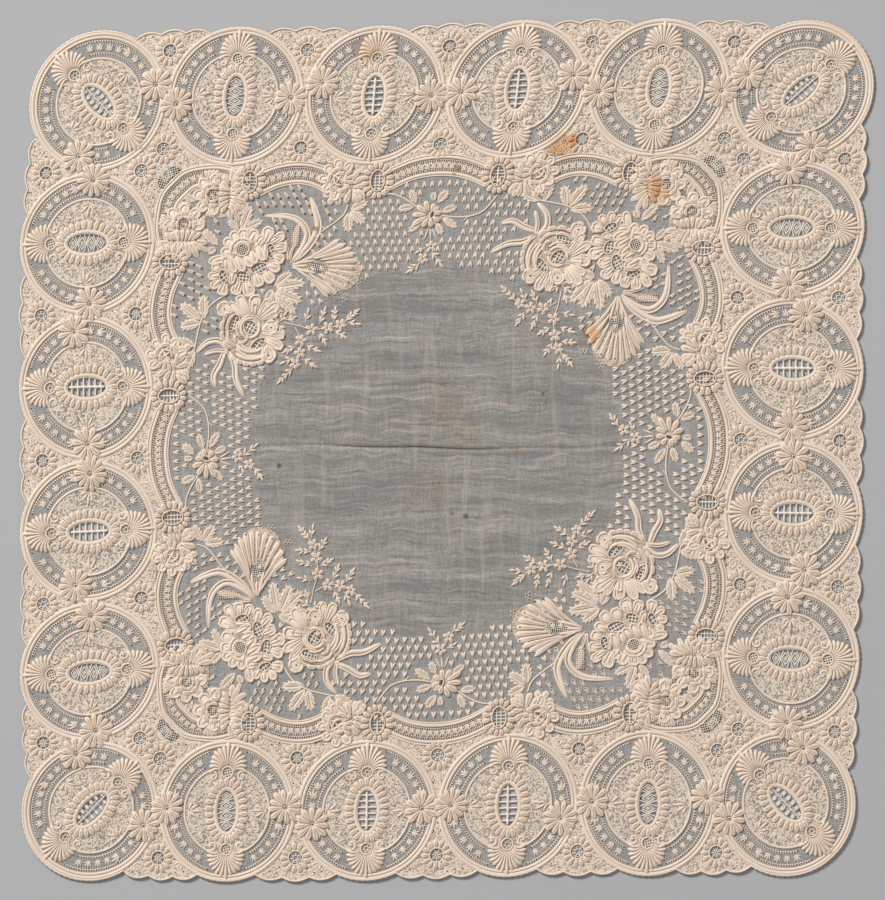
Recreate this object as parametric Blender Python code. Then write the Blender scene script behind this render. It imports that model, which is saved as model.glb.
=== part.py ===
"""Lace handkerchief: one square of sheer whitework cloth, lying flat and face up.

The whole cloth is one solid. Its underside is flat, and its top is a low relief: sheer ground, closely
stitched border, raised cords, flowers and fans, with the openings of the lace cut right through.
The pattern turns by a quarter from side to side, so one side is drawn four times in an even layout.
The even layout is then drawn out of true a little, as the washed and pressed cloth is.
"""
import math
from collections import namedtuple

import bmesh
import bpy
import numpy as np
from mathutils.geometry import delaunay_2d_cdt

MM = 0.001

# Driving dimensions in millimetres: the even layout, centre at 0, 0, seen from above
PITCH = 72.6
SIDES = 4
MEDALLIONS_PER_SIDE = 5
ROW = 2.5 * PITCH
ROW_BULGE = 1.6

# Heights of the top above the flat underside
SHEER = 1.0
DENSE = 1.4
FIELD = 1.45
CORD = 1.9
CREST = 2.1

# Edge of the cloth
EDGE_R = 36.2
EDGE_CHORD = 30.5
CORNER_EDGE_R = 36.9
CORNER_REACH = 17.8
SCALLOPS = 3
SCALLOP_RISE = 2.1
CUSP_LIFT = 1.5
EDGE_HEIGHT = 1.2

# Medallion, round its own centre, with its long axis pointing to the edge
OUTER_CORD_R = 34.3
BAND_R = 28.6
INNER_CORD_R = 22.4
FAN_GAP_DEG = 31.0
OPENING_RX = 4.7
OPENING_RY = 10.3
BAR_WIDTH = 1.2
BAR_Y = 3.6
PETAL_RX = 8.7
PETAL_RY = 13.9
WHEEL_Y = 19.6
WHEEL_R = 2.45
FAN_R = 12.6
FAN_HALF_DEG = 72.0

# Joins between medallions
DAISY_R = 6.4
JOIN_EYE_OUT = 25.6
JOIN_EYE_IN = -25.3
JOIN_EYE_R = 3.3

# Inner frame
FRAME_V = 138.6
FRAME_U = (-98.7, -31.3, 31.3, 98.7)
ARC_CENTRE_V = 100.5
ARC_OUTER_R = 48.2
ARC_INNER_R = 38.8
ARC_SPAN_DEG = 58.0
CORNER_ARC_AT = 117.5
CORNER_ARC_OUTER_R = 29.0
CORNER_ARC_INNER_R = 20.2
CORNER_ARC_SPAN_DEG = 84.0
SUN_RX = 3.3
SUN_RY = 5.1
SUN_PETAL_R = 7.4

# How far a rose's petals slope down to the ground, and where the ground is drawn in points:
# a step apart, clear of the motifs but no further from them than the plain centre's edge
PETAL_SLOPE = 3.2
GROUND_STEP = 11.0
GROUND_CLEAR = 5.4
GROUND_REACH = 13.0

CREASE_HALF = 92.0
CREASE_WIDTH = 1.6
CREASE_HEIGHT = 1.25

Daisy = namedtuple("Daisy", "join along across")
DAISIES = (
    Daisy(0, -6.5, 8.3), Daisy(0, 5.3, -2.0),
    Daisy(1, -7.0, 0.8), Daisy(1, 9.0, 9.0),
    Daisy(2, -7.0, 0.4), Daisy(2, 8.0, 1.4),
    Daisy(3, -8.3, 8.3), Daisy(3, 5.7, -0.5),
    Daisy(4, -4.1, 0.0), Daisy(4, 8.3, 8.8),
)

Rose = namedtuple("Rose", "u v radius points")
ROSES = (
    Rose(-116.4, 132.6, 10.5, 6),
    Rose(-49.5, 137.4, 8.0, 6),
    Rose(49.8, 138.4, 8.0, 6),
    Rose(116.8, 133.0, 10.5, 6),
    Rose(-2.0, 119.0, 7.0, 6),
    Rose(-96.6, 101.0, 15.5, 9),
    Rose(-95.7, 63.6, 16.5, 9),
)

Net = namedtuple("Net", "u v rx ry turn_deg")
NETS = (
    Net(-85.8, 103.2, 1.9, 3.4, 12.0),
    Net(-91.5, 94.6, 4.2, 2.4, 10.0),
    Net(-99.9, 90.4, 3.4, 2.2, -25.0),
    Net(-110.3, 90.8, 1.8, 3.0, 20.0),
    Net(-104.6, 67.2, 2.4, 4.2, -32.0),
    Net(-95.3, 64.4, 3.9, 2.9, -48.0),
    Net(-91.4, 55.8, 4.3, 2.1, 38.0),
)

Leaf = namedtuple("Leaf", "u v tip_u tip_v width bend")
LEAVES = (
    Leaf(-74.5, 95.5, -66.1, 130.0, 6.5, 7.5),
    Leaf(-75.5, 95.0, -90.3, 121.0, 5.0, -8.5),
    Leaf(-103.0, 59.0, -122.0, 51.0, 4.0, -3.0),
    Leaf(-104.5, 54.0, -101.0, 30.5, 4.5, 2.5),
    Leaf(-81.0, 88.0, -70.0, 74.5, 13.0, 0.0),
    Leaf(-120.5, 67.0, -129.0, 83.0, 10.0, 0.0),
    Leaf(-66.0, 63.0, -40.5, 70.5, 5.0, -2.0),
    Leaf(-69.0, 62.0, -79.6, 37.5, 5.0, 3.0),
    Leaf(-38.0, 128.0, -27.0, 119.0, 9.0, 0.0),
    Leaf(38.0, 128.0, 27.0, 121.0, 9.0, 0.0),
)

Trumpet = namedtuple("Trumpet", "u v aim_deg length half_deg ridges")
TRUMPET = Trumpet(-74.5, 95.2, -7.0, 33.0, 27.0, 4)

# How far the real cloth has crept from the even layout, along and across each side
Creep = namedtuple("Creep", "side u v along across")
CREEP = (
    Creep(0, -2.5 * PITCH, ROW, 2.8, -1.3), Creep(0, -1.5 * PITCH, ROW, 0.4, 0.0),
    Creep(0, -0.5 * PITCH, ROW, -0.4, 0.0), Creep(0, 0.5 * PITCH, ROW, 1.1, 3.8),
    Creep(0, 1.5 * PITCH, ROW, 1.5, 4.4), Creep(0, -98.7, FRAME_V, -2.1, 0.2),
    Creep(0, 31.3, FRAME_V, -3.9, 3.6),
    Creep(1, -2.5 * PITCH, ROW, -4.4, 2.8), Creep(1, -1.5 * PITCH, ROW, -6.2, -4.0),
    Creep(1, -0.5 * PITCH, ROW, -6.2, -3.2), Creep(1, 0.5 * PITCH, ROW, -3.9, -3.0),
    Creep(1, 1.5 * PITCH, ROW, -1.3, -4.6), Creep(1, -98.7, FRAME_V, -6.0, -5.2),
    Creep(1, 31.3, FRAME_V, -4.7, -2.9),
    Creep(2, -2.5 * PITCH, ROW, 5.4, 0.8), Creep(2, -1.5 * PITCH, ROW, 3.8, -0.8),
    Creep(2, -0.5 * PITCH, ROW, 3.7, 0.0), Creep(2, 0.5 * PITCH, ROW, 4.0, 2.9),
    Creep(2, 1.5 * PITCH, ROW, 4.0, 3.2), Creep(2, -98.7, FRAME_V, 3.1, -2.9),
    Creep(2, 31.3, FRAME_V, 3.6, 2.3),
    Creep(3, -2.5 * PITCH, ROW, -4.0, 1.0), Creep(3, -1.5 * PITCH, ROW, -5.7, 0.8),
    Creep(3, -0.5 * PITCH, ROW, -5.6, 0.9), Creep(3, 0.5 * PITCH, ROW, -3.5, 2.1),
    Creep(3, 1.5 * PITCH, ROW, -1.7, 2.0), Creep(3, -98.7, FRAME_V, -1.9, 0.5),
    Creep(3, 31.3, FRAME_V, -3.1, 4.1),
)

# Steps of the round forms
CORD_STEPS = 14
INNER_ARC_STEPS = 5
WELD = 0.12


def turned(x, y, degrees):
    """A point turned about the origin."""
    a = math.radians(degrees)
    return x * math.cos(a) - y * math.sin(a), x * math.sin(a) + y * math.cos(a)


def on_side(side, u, v):
    """A point of one side's drawing, u along the side and v outwards, in the even layout."""
    return turned(u, v, -90.0 * side)


class Creeping:
    """The smooth shift that carries the even layout onto the cloth as it lies."""

    def __init__(self, rows):
        self.places = np.array([on_side(row.side, row.u, row.v) for row in rows])
        shifts = np.array([on_side(row.side, row.along, row.across) for row in rows])
        count = len(rows)
        plane = np.hstack([np.ones((count, 1)), self.places])
        system = np.zeros((count + 3, count + 3))
        system[:count, :count] = self.pull(self.places)
        system[:count, count:] = plane
        system[count:, :count] = plane.T
        self.weights = np.linalg.solve(system, np.vstack([shifts, np.zeros((3, 2))]))

    def pull(self, points):
        """The thin plate's pull of every place on every point."""
        gap = ((points[:, None, :] - self.places[None, :, :]) ** 2).sum(axis=2)
        return gap * np.log(gap + 1e-9)

    def moved(self, points):
        """The points where they lie on the real cloth."""
        plane = np.hstack([np.ones((len(points), 1)), points])
        return points + np.hstack([self.pull(points), plane]) @ self.weights


class Drawing:
    """Lines with a height at each point, from which the top of the cloth is spanned."""

    def __init__(self):
        self.points = []
        self.heights = []
        self.edges = []
        self.rims = []

    def line(self, points, height, closed=False):
        """Add a line, and give the numbers of its points."""
        first = len(self.points)
        self.points.extend(points)
        self.heights.extend([height] * len(points))
        numbers = list(range(first, first + len(points)))
        self.edges.extend(zip(numbers, numbers[1:]))
        if closed:
            self.edges.append((numbers[-1], numbers[0]))
        return numbers

    def dots(self, points, height):
        """Add points that no line joins."""
        self.points.extend(points)
        self.heights.extend([height] * len(points))

    def rim(self, points, height):
        """Add a closed line at which the cloth ends: its outer edge, or an opening."""
        self.rims.append(self.line(points, height, closed=True))


class Pen:
    """Places shapes drawn about a motif's own centre, with +Y to the edge of the cloth."""

    def __init__(self, drawing, side, u, v, turn_deg=0.0):
        self.drawing = drawing
        self.side = side
        self.u = u
        self.v = v
        self.turn_deg = turn_deg

    def place(self, points):
        """The motif's points in the even layout."""
        placed = []
        for x, y in points:
            tx, ty = turned(x, y, self.turn_deg)
            placed.append(on_side(self.side, self.u + tx, self.v + ty))
        return placed

    def line(self, points, height, closed=False):
        """Draw a line of the motif."""
        self.drawing.line(self.place(points), height, closed)

    def dots(self, points, height):
        """Draw points of the motif that no line joins."""
        self.drawing.dots(self.place(points), height)

    def opening(self, points, height):
        """Draw an opening of the lace."""
        self.drawing.rim(self.place(points), height)


def ellipse(rx, ry, steps, cx=0.0, cy=0.0, turn_deg=0.0, phase=0.0):
    """Points round an ellipse."""
    points = []
    for i in range(steps):
        a = math.tau * (i + phase) / steps
        x, y = turned(rx * math.cos(a), ry * math.sin(a), turn_deg)
        points.append((cx + x, cy + y))
    return points


def arc(radius, start_deg, end_deg, steps, cx=0.0, cy=0.0):
    """Points along an arc, both ends included."""
    points = []
    for i in range(steps + 1):
        a = math.radians(start_deg + (end_deg - start_deg) * i / steps)
        points.append((cx + radius * math.cos(a), cy + radius * math.sin(a)))
    return points


def bulge(start, end, rise, steps):
    """A shallow curve from start to end that stands out to the left, its end left off."""
    dx = end[0] - start[0]
    dy = end[1] - start[1]
    length = math.hypot(dx, dy)
    points = []
    for i in range(steps):
        t = i / steps
        out = 4.0 * rise * t * (1.0 - t)
        points.append((start[0] + dx * t - dy / length * out, start[1] + dy * t + dx / length * out))
    return points


def scallops(start, end):
    """The small scallops between two medallions, from start to end."""
    cusps = [start]
    for i in range(1, SCALLOPS):
        t = i / SCALLOPS
        u = start[0] + (end[0] - start[0]) * t
        v = start[1] + (end[1] - start[1]) * t
        cusps.append((u, v + CUSP_LIFT))
    cusps.append(end)
    points = []
    for a, b in zip(cusps, cusps[1:]):
        points.extend(bulge(a, b, SCALLOP_RISE, 4))
    return points


def side_edge():
    """One side's edge in its own drawing, from its corner medallion to the next corner."""
    corner_open = math.degrees(math.asin(CORNER_REACH / CORNER_EDGE_R))
    points = arc(CORNER_EDGE_R, 180.0 + corner_open, 90.0 - corner_open, 15, -ROW, ROW)
    start = points.pop()
    half_deg = math.degrees(math.asin(0.5 * EDGE_CHORD / EDGE_R))
    for k in range(1, MEDALLIONS_PER_SIDE):
        u = (k - 2.5) * PITCH
        own = arc(EDGE_R, 90.0 + half_deg, 90.0 - half_deg, 5, u, ROW + ROW_BULGE)
        points.extend(scallops(start, own[0]))
        start = own.pop()
        points.extend(own)
    points.extend(scallops(start, (ROW - CORNER_REACH, start[1] - ROW_BULGE)))
    return points


def draw_edge(drawing):
    """The whole scalloped edge as one closed line."""
    around = []
    for side in range(SIDES):
        around.extend(on_side(side, u, v) for u, v in side_edge())
    drawing.rim(around, EDGE_HEIGHT)


def draw_oval_opening(pen):
    """The oval opening, in three gaps that two needle-lace bars leave."""
    half_bar = 0.5 * BAR_WIDTH

    def half_width(y):
        return OPENING_RX * math.sqrt(1.0 - (y / OPENING_RY) ** 2)

    low = -BAR_Y + half_bar
    middle = [(half_width(low), low), (half_width(low), -low)]
    middle.extend([(-half_width(low), -low), (-half_width(low), low)])
    pen.opening(middle, FIELD)
    start = BAR_Y + half_bar
    shoulder = 8.4
    for way in (1.0, -1.0):
        end = [(half_width(start), start), (half_width(shoulder), shoulder), (0.0, OPENING_RY)]
        end.extend([(-half_width(shoulder), shoulder), (-half_width(start), start)])
        pen.opening([(x * way, y * way) for x, y in end], FIELD)


def draw_fan(pen, way):
    """One fan of ridges beyond its wheel, on the side of the medallion that way points to."""
    pen.opening(ellipse(WHEEL_R, WHEEL_R, 6, 0.0, way * WHEEL_Y), CORD)
    rim = arc(FAN_R, 90.0 - FAN_HALF_DEG, 90.0 + FAN_HALF_DEG, 6, 0.0, WHEEL_Y)
    pen.line([(x * way, y * way) for x, y in rim], CREST)


def draw_medallion(pen):
    """One medallion: cords, sheer band, field, oval opening, wheels and fans."""
    pen.line(ellipse(OUTER_CORD_R, OUTER_CORD_R, CORD_STEPS), CORD, closed=True)
    for middle in (0.0, 180.0):
        start = middle - 90.0 + FAN_GAP_DEG
        end = middle + 90.0 - FAN_GAP_DEG
        pen.line(arc(BAND_R, start, end, INNER_ARC_STEPS), SHEER)
        pen.line(arc(INNER_CORD_R, start, end, INNER_ARC_STEPS), CORD)
    pen.line(ellipse(PETAL_RX, PETAL_RY, 8), CREST, closed=True)
    draw_oval_opening(pen)
    draw_fan(pen, 1.0)
    draw_fan(pen, -1.0)


def draw_joins(drawing, side):
    """Daisies and wheel eyelets where the medallions of one side meet."""
    for k in range(MEDALLIONS_PER_SIDE):
        u = (k - 2.0) * PITCH
        for across in (JOIN_EYE_OUT, JOIN_EYE_IN):
            eye = Pen(drawing, side, u, ROW + across)
            eye.opening(ellipse(JOIN_EYE_R, JOIN_EYE_R, 7, phase=0.5), CORD)
    for daisy in DAISIES:
        pen = Pen(drawing, side, (daisy.join - 2.0) * PITCH + daisy.along, ROW + daisy.across)
        pen.dots(ellipse(DAISY_R, DAISY_R, 5, phase=0.25), CREST)


def draw_frame(drawing, side):
    """The double cord arcs of the inner frame and the sunflowers between them."""
    for u in (-65.0, 0.0, 65.0):
        pen = Pen(drawing, side, u, ARC_CENTRE_V)
        first = 90.0 + 0.5 * ARC_SPAN_DEG
        last = 90.0 - 0.5 * ARC_SPAN_DEG
        pen.line(arc(ARC_OUTER_R, first, last, 4), CORD)
        pen.line(arc(0.5 * (ARC_OUTER_R + ARC_INNER_R), first, last, 3), SHEER)
        pen.line(arc(ARC_INNER_R, first, last, 4), CORD)
    pen = Pen(drawing, side, -CORNER_ARC_AT, CORNER_ARC_AT)
    first = 135.0 + 0.5 * CORNER_ARC_SPAN_DEG
    last = 135.0 - 0.5 * CORNER_ARC_SPAN_DEG
    pen.line(arc(CORNER_ARC_OUTER_R, first, last, 5), CORD)
    pen.line(arc(0.5 * (CORNER_ARC_OUTER_R + CORNER_ARC_INNER_R), first, last, 3), SHEER)
    pen.line(arc(CORNER_ARC_INNER_R, first, last, 4), CORD)
    for u in FRAME_U:
        sun = Pen(drawing, side, u, FRAME_V)
        sun.opening(ellipse(SUN_RX, SUN_RY, 7, phase=0.5), FIELD)
        sun.dots(ellipse(SUN_PETAL_R, SUN_PETAL_R, 6), CREST)


def draw_rose(drawing, side, rose):
    """A round rose: the crest of its petals, their tips on the ground, and a lower heart."""
    pen = Pen(drawing, side, rose.u, rose.v)
    tips = rose.radius + PETAL_SLOPE
    pen.dots(ellipse(rose.radius, rose.radius, rose.points, phase=0.3), CREST)
    pen.dots(ellipse(tips, tips, rose.points, phase=0.8), SHEER)
    pen.dots([(0.0, 0.0)], FIELD)


def draw_leaf(drawing, side, leaf):
    """A leaf or blade with a raised rib, bent to one side."""
    dx = leaf.tip_u - leaf.u
    dy = leaf.tip_v - leaf.v
    length = math.hypot(dx, dy)
    nx, ny = -dy / length, dx / length
    rib, left, right = [], [], []
    for t, share in ((0.0, 0.0), (0.35, 1.0), (0.7, 0.8), (1.0, 0.0)):
        out = leaf.bend * 4.0 * t * (1.0 - t)
        x = leaf.u + dx * t + nx * out
        y = leaf.v + dy * t + ny * out
        half = 0.5 * leaf.width * share
        rib.append((x, y))
        if share > 0.0:
            left.append((x + nx * half, y + ny * half))
            right.append((x - nx * half, y - ny * half))
    pen = Pen(drawing, side, 0.0, 0.0)
    pen.line(rib, CREST)
    pen.dots(left + right, SHEER)


def draw_trumpet(drawing, side, flower):
    """The trumpet flower: ridges that spread from its throat, with furrows between them."""
    pen = Pen(drawing, side, flower.u, flower.v)
    for i in range(2 * flower.ridges + 1):
        share = i / flower.ridges - 1.0
        aim = flower.aim_deg + flower.half_deg * share
        reach = flower.length * (1.0 - 0.08 * share * share)
        height = DENSE if i % 2 else CREST
        stops = (0.35, 1.0)
        pen.line([turned(reach * stop, 0.0, aim) for stop in stops], height)
    pen.line([(0.0, 0.0)], CORD)


def draw_bouquet(drawing, side):
    """The corner bouquet's roses, nets, leaves and trumpet, and the small flowers of the frame."""
    for rose in ROSES:
        draw_rose(drawing, side, rose)
    for net in NETS:
        pen = Pen(drawing, side, net.u, net.v, net.turn_deg)
        pen.opening(ellipse(net.rx, net.ry, 6), FIELD)
    for leaf in LEAVES:
        draw_leaf(drawing, side, leaf)
    draw_trumpet(drawing, side, TRUMPET)


def draw_ground(drawing):
    """Points of the ground between the motifs, wherever they leave room for one."""
    drawn = np.array(drawing.points)
    ends = np.array(drawing.edges)
    taken = np.vstack([drawn, 0.5 * (drawn[ends[:, 0]] + drawn[ends[:, 1]])])
    edge = np.array([drawing.points[n] for n in drawing.rims[0]])
    reach = ROW + EDGE_R
    row_step = GROUND_STEP * math.sqrt(0.75)
    rows = int(reach / row_step)
    count = int(reach / GROUND_STEP)
    for row in range(-rows, rows + 1):
        y = row * row_step
        for i in range(-count, count + 1):
            x = (i + 0.5 * (row % 2)) * GROUND_STEP
            nearest = np.hypot(taken[:, 0] - x, taken[:, 1] - y).min()
            if not GROUND_CLEAR < nearest < GROUND_REACH:
                continue
            if inside(np.array([(x, y)]), edge)[0] and not in_rose(x, y):
                within = max(abs(x), abs(y)) < FRAME_V
                drawing.dots([(x, y)], SHEER if within else DENSE)


def in_rose(x, y):
    """Whether a place is on one of the roses."""
    for side in range(SIDES):
        for rose in ROSES:
            rx, ry = on_side(side, rose.u, rose.v)
            if math.hypot(rx - x, ry - y) < rose.radius:
                return True
    return False


def draw_crease(drawing):
    """The pressed fold line across the plain centre."""
    steps = 6
    across = []
    for i in range(steps + 1):
        across.append((-CREASE_HALF + 2.0 * CREASE_HALF * i / steps, 0.4 * math.sin(1.7 * i)))
    drawing.line(across, CREASE_HEIGHT)
    for way in (1.0, -1.0):
        drawing.line([(x, y + way * CREASE_WIDTH) for x, y in across], SHEER)


def inside(points, rim):
    """Which points lie inside a closed line."""
    within = np.zeros(len(points), dtype=bool)
    x, y = points[:, 0], points[:, 1]
    for (ax, ay), (bx, by) in zip(rim, np.roll(rim, -1, axis=0)):
        crosses = (ay > y) != (by > y)
        if ay != by:
            within ^= crosses & (x < (bx - ax) * (y - ay) / (by - ay) + ax)
    return within


def spanned(points, edges, rims):
    """Span triangles between the lines, inside the first rim and outside the others.

    Gives the places of the points, the numbers of the drawn points at each, and the triangles.
    """
    places, _, faces, sources, _, _ = delaunay_2d_cdt(points, edges, [], 0, WELD)
    places = np.array([tuple(place) for place in places])
    faces = np.array([tuple(face) for face in faces])
    middles = places[faces].mean(axis=1)
    keep = inside(middles, np.array([points[n] for n in rims[0]]))
    for rim in rims[1:]:
        line = np.array([points[n] for n in rim])
        near = np.all((middles >= line.min(axis=0)) & (middles <= line.max(axis=0)), axis=1)
        hit = np.flatnonzero(near)
        keep[hit] &= ~inside(middles[hit], line)
    return places, sources, faces[keep]


def top_heights(drawing, sources, faces):
    """The height of each spanned point; where lines cross, the mean of its neighbours."""
    heights = np.array([max((drawing.heights[n] for n in own), default=0.0) for own in sources])
    crossings = {i for i, own in enumerate(sources) if not own}
    around = {i: set() for i in crossings}
    for face in faces.tolist():
        for i in crossings.intersection(face):
            around[i].update(n for n in face if n not in crossings)
    for i, near in around.items():
        heights[i] = np.mean([heights[n] for n in near]) if near else DENSE
    return heights


def build_cloth():
    """Span the top, drop its edges to the flat underside and close that with fewer faces."""
    drawing = Drawing()
    draw_edge(drawing)
    for side in range(SIDES):
        for k in range(MEDALLIONS_PER_SIDE):
            corner = k == 0
            v = ROW if corner else ROW + ROW_BULGE
            draw_medallion(Pen(drawing, side, (k - 2.5) * PITCH, v, 45.0 if corner else 0.0))
        draw_joins(drawing, side)
        draw_frame(drawing, side)
        draw_bouquet(drawing, side)
    draw_crease(drawing)
    draw_ground(drawing)

    places, sources, faces = spanned(drawing.points, drawing.edges, drawing.rims)
    heights = top_heights(drawing, sources, faces)
    lying = Creeping(CREEP).moved(places)
    middle = 0.5 * (lying[faces].min(axis=(0, 1)) + lying[faces].max(axis=(0, 1)))
    lying -= middle

    bm = bmesh.new()
    used = {}
    for face in faces.tolist():
        for n in face:
            if n not in used:
                x, y = lying[n] * MM
                used[n] = bm.verts.new((x, y, heights[n] * MM))
        bm.faces.new([used[n] for n in face])
    open_edges = [edge for edge in bm.edges if edge.is_boundary]
    dropped = bmesh.ops.extrude_edge_only(bm, edges=open_edges)["geom"]
    for vert in dropped:
        if isinstance(vert, bmesh.types.BMVert):
            vert.co.z = 0.0
    close_underside(bm)
    bmesh.ops.recalc_face_normals(bm, faces=bm.faces)
    return bm


def close_underside(bm):
    """Fill the flat underside between the dropped edges."""
    low = [edge for edge in bm.edges if edge.is_boundary]
    verts = list({vert for edge in low for vert in edge.verts})
    verts.sort(key=lambda vert: (round(vert.co.x, 7), round(vert.co.y, 7)))
    number = {vert: i for i, vert in enumerate(verts)}
    points = [(vert.co.x / MM, vert.co.y / MM) for vert in verts]
    edges = [(number[edge.verts[0]], number[edge.verts[1]]) for edge in low]
    loops = closed_loops(edges)
    loops.sort(key=lambda loop: -max(points[n][0] for n in loop))
    _, sources, faces = spanned(points, edges, loops)
    for face in faces.tolist():
        bm.faces.new([verts[sources[n][0]] for n in face])


def closed_loops(edges):
    """The closed loops that the edges make, each as its points in order."""
    links = {}
    for a, b in edges:
        links.setdefault(a, []).append(b)
        links.setdefault(b, []).append(a)
    loops = []
    seen = set()
    for start in links:
        if start in seen:
            continue
        loop = [start]
        seen.add(start)
        while True:
            onward = [n for n in links[loop[-1]] if n not in seen]
            if not onward:
                break
            loop.append(onward[0])
            seen.add(onward[0])
        loops.append(loop)
    return loops


def cotton_material():
    """Cream cotton, closely stitched: matt, with no metal in it."""
    material = bpy.data.materials.new("cream cotton")
    material.use_nodes = True
    shader = material.node_tree.nodes["Principled BSDF"]
    shader.inputs["Base Color"].default_value = (0.776, 0.672, 0.552, 1.0)
    shader.inputs["Roughness"].default_value = 0.85
    shader.inputs["Metallic"].default_value = 0.0
    return material


def main():
    for item in list(bpy.data.objects):
        bpy.data.objects.remove(item, do_unlink=True)
    collection = bpy.data.collections.new("lace handkerchief")
    bpy.context.scene.collection.children.link(collection)
    bm = build_cloth()
    mesh = bpy.data.meshes.new("handkerchief")
    bm.to_mesh(mesh)
    bm.free()
    mesh.materials.append(cotton_material())
    collection.objects.link(bpy.data.objects.new("handkerchief", mesh))


main()
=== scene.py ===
"""Looks of the lace handkerchief: sheer batiste, raised satin stitch, cords and needle lace."""

import logging
import math
from dataclasses import dataclass, field
from enum import Enum

import bpy
import numpy as np
from mathutils.geometry import delaunay_2d_cdt
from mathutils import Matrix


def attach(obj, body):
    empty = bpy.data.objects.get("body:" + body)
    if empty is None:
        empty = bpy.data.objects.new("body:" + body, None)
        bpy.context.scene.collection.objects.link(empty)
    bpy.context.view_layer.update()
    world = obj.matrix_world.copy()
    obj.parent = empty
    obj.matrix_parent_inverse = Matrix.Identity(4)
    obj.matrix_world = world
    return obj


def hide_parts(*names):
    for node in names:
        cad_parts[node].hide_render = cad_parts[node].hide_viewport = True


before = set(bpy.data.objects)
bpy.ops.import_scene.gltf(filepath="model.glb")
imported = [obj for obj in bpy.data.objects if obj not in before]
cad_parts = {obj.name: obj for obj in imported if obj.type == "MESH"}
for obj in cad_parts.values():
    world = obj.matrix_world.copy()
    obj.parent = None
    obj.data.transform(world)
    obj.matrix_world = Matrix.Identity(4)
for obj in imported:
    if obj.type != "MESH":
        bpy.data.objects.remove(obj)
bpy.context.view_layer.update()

LOG = logging.getLogger("handkerchief")
NODE = "handkerchief"
BODY = "root"
MM = 0.001

# The even layout in millimetres, centre at 0, 0, seen from above; one side is drawn four times
SIDES = 4
PITCH = 72.6
ROW = 2.5 * PITCH
ROW_BULGE = 1.6
MEDALLIONS_PER_SIDE = 5
EDGE_R = 36.2
EDGE_CHORD = 30.5
CORNER_EDGE_R = 36.9
CORNER_REACH = 17.8
FRAME_V = 138.6
FRAME_U = (-98.7, -31.3, 31.3, 98.7)
ARC_U = (-65.0, 0.0, 65.0)
ARC_CENTRE_V = 100.5
ARC_OUTER_R = 48.2
ARC_HALF_DEG = 29.0
CORNER_ARC_AT = 117.5
CORNER_ARC_OUTER_R = 29.0
CORNER_ARC_HALF_DEG = 42.0

# Levels above the surface it lies on, in millimetres
CLOTH_Z = 0.85
CLOTH_THICK = 0.3
WORKED_Z = 0.14
RELIEF = 0.82

Points = np.ndarray


@dataclass(frozen=True)
class Creep:
    """How far the real cloth has crept from the even layout at one place of one side."""

    side: int
    u: float
    v: float
    along: float
    across: float


CREEPS = (
    Creep(0, -2.5 * PITCH, ROW, 2.8, -1.3), Creep(0, -1.5 * PITCH, ROW, 0.4, 0.0),
    Creep(0, -0.5 * PITCH, ROW, -0.4, 0.0), Creep(0, 0.5 * PITCH, ROW, 1.1, 3.8),
    Creep(0, 1.5 * PITCH, ROW, 1.5, 4.4), Creep(0, -98.7, FRAME_V, -2.1, 0.2),
    Creep(0, 31.3, FRAME_V, -3.9, 3.6),
    Creep(1, -2.5 * PITCH, ROW, -4.4, 2.8), Creep(1, -1.5 * PITCH, ROW, -6.2, -4.0),
    Creep(1, -0.5 * PITCH, ROW, -6.2, -3.2), Creep(1, 0.5 * PITCH, ROW, -3.9, -3.0),
    Creep(1, 1.5 * PITCH, ROW, -1.3, -4.6), Creep(1, -98.7, FRAME_V, -6.0, -5.2),
    Creep(1, 31.3, FRAME_V, -4.7, -2.9),
    Creep(2, -2.5 * PITCH, ROW, 5.4, 0.8), Creep(2, -1.5 * PITCH, ROW, 3.8, -0.8),
    Creep(2, -0.5 * PITCH, ROW, 3.7, 0.0), Creep(2, 0.5 * PITCH, ROW, 4.0, 2.9),
    Creep(2, 1.5 * PITCH, ROW, 4.0, 3.2), Creep(2, -98.7, FRAME_V, 3.1, -2.9),
    Creep(2, 31.3, FRAME_V, 3.6, 2.3),
    Creep(3, -2.5 * PITCH, ROW, -4.0, 1.0), Creep(3, -1.5 * PITCH, ROW, -5.7, 0.8),
    Creep(3, -0.5 * PITCH, ROW, -5.6, 0.9), Creep(3, 0.5 * PITCH, ROW, -3.5, 2.1),
    Creep(3, 1.5 * PITCH, ROW, -1.7, 2.0), Creep(3, -98.7, FRAME_V, -1.9, 0.5),
    Creep(3, 31.3, FRAME_V, -3.1, 4.1),
)


class Filling(Enum):
    """The needle-lace fillings of the oval openings."""

    CHECKER = "checker"
    DIAMONDS = "diamonds"
    BARS = "bars"


class Wheel(Enum):
    """The needle-lace fillings of the round eyelets."""

    STAR = "star"
    WEB = "web"
    LATTICE = "lattice"


def turned(points: Points, degrees: float) -> Points:
    """Turn points about the origin.

    Args:
        points: an array that ends in x, y pairs.
        degrees: the turn, anticlockwise.

    Returns:
        The turned points, in the same form.
    """
    a = math.radians(degrees)
    c, s = math.cos(a), math.sin(a)
    points = np.asarray(points, dtype=float)
    return np.stack([points[..., 0] * c - points[..., 1] * s,
                     points[..., 0] * s + points[..., 1] * c], axis=-1)


def polar(radius: float, degrees: float) -> Points:
    """The point at a radius and an angle from +X."""
    a = math.radians(degrees)
    return np.array([radius * math.cos(a), radius * math.sin(a)])


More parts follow.
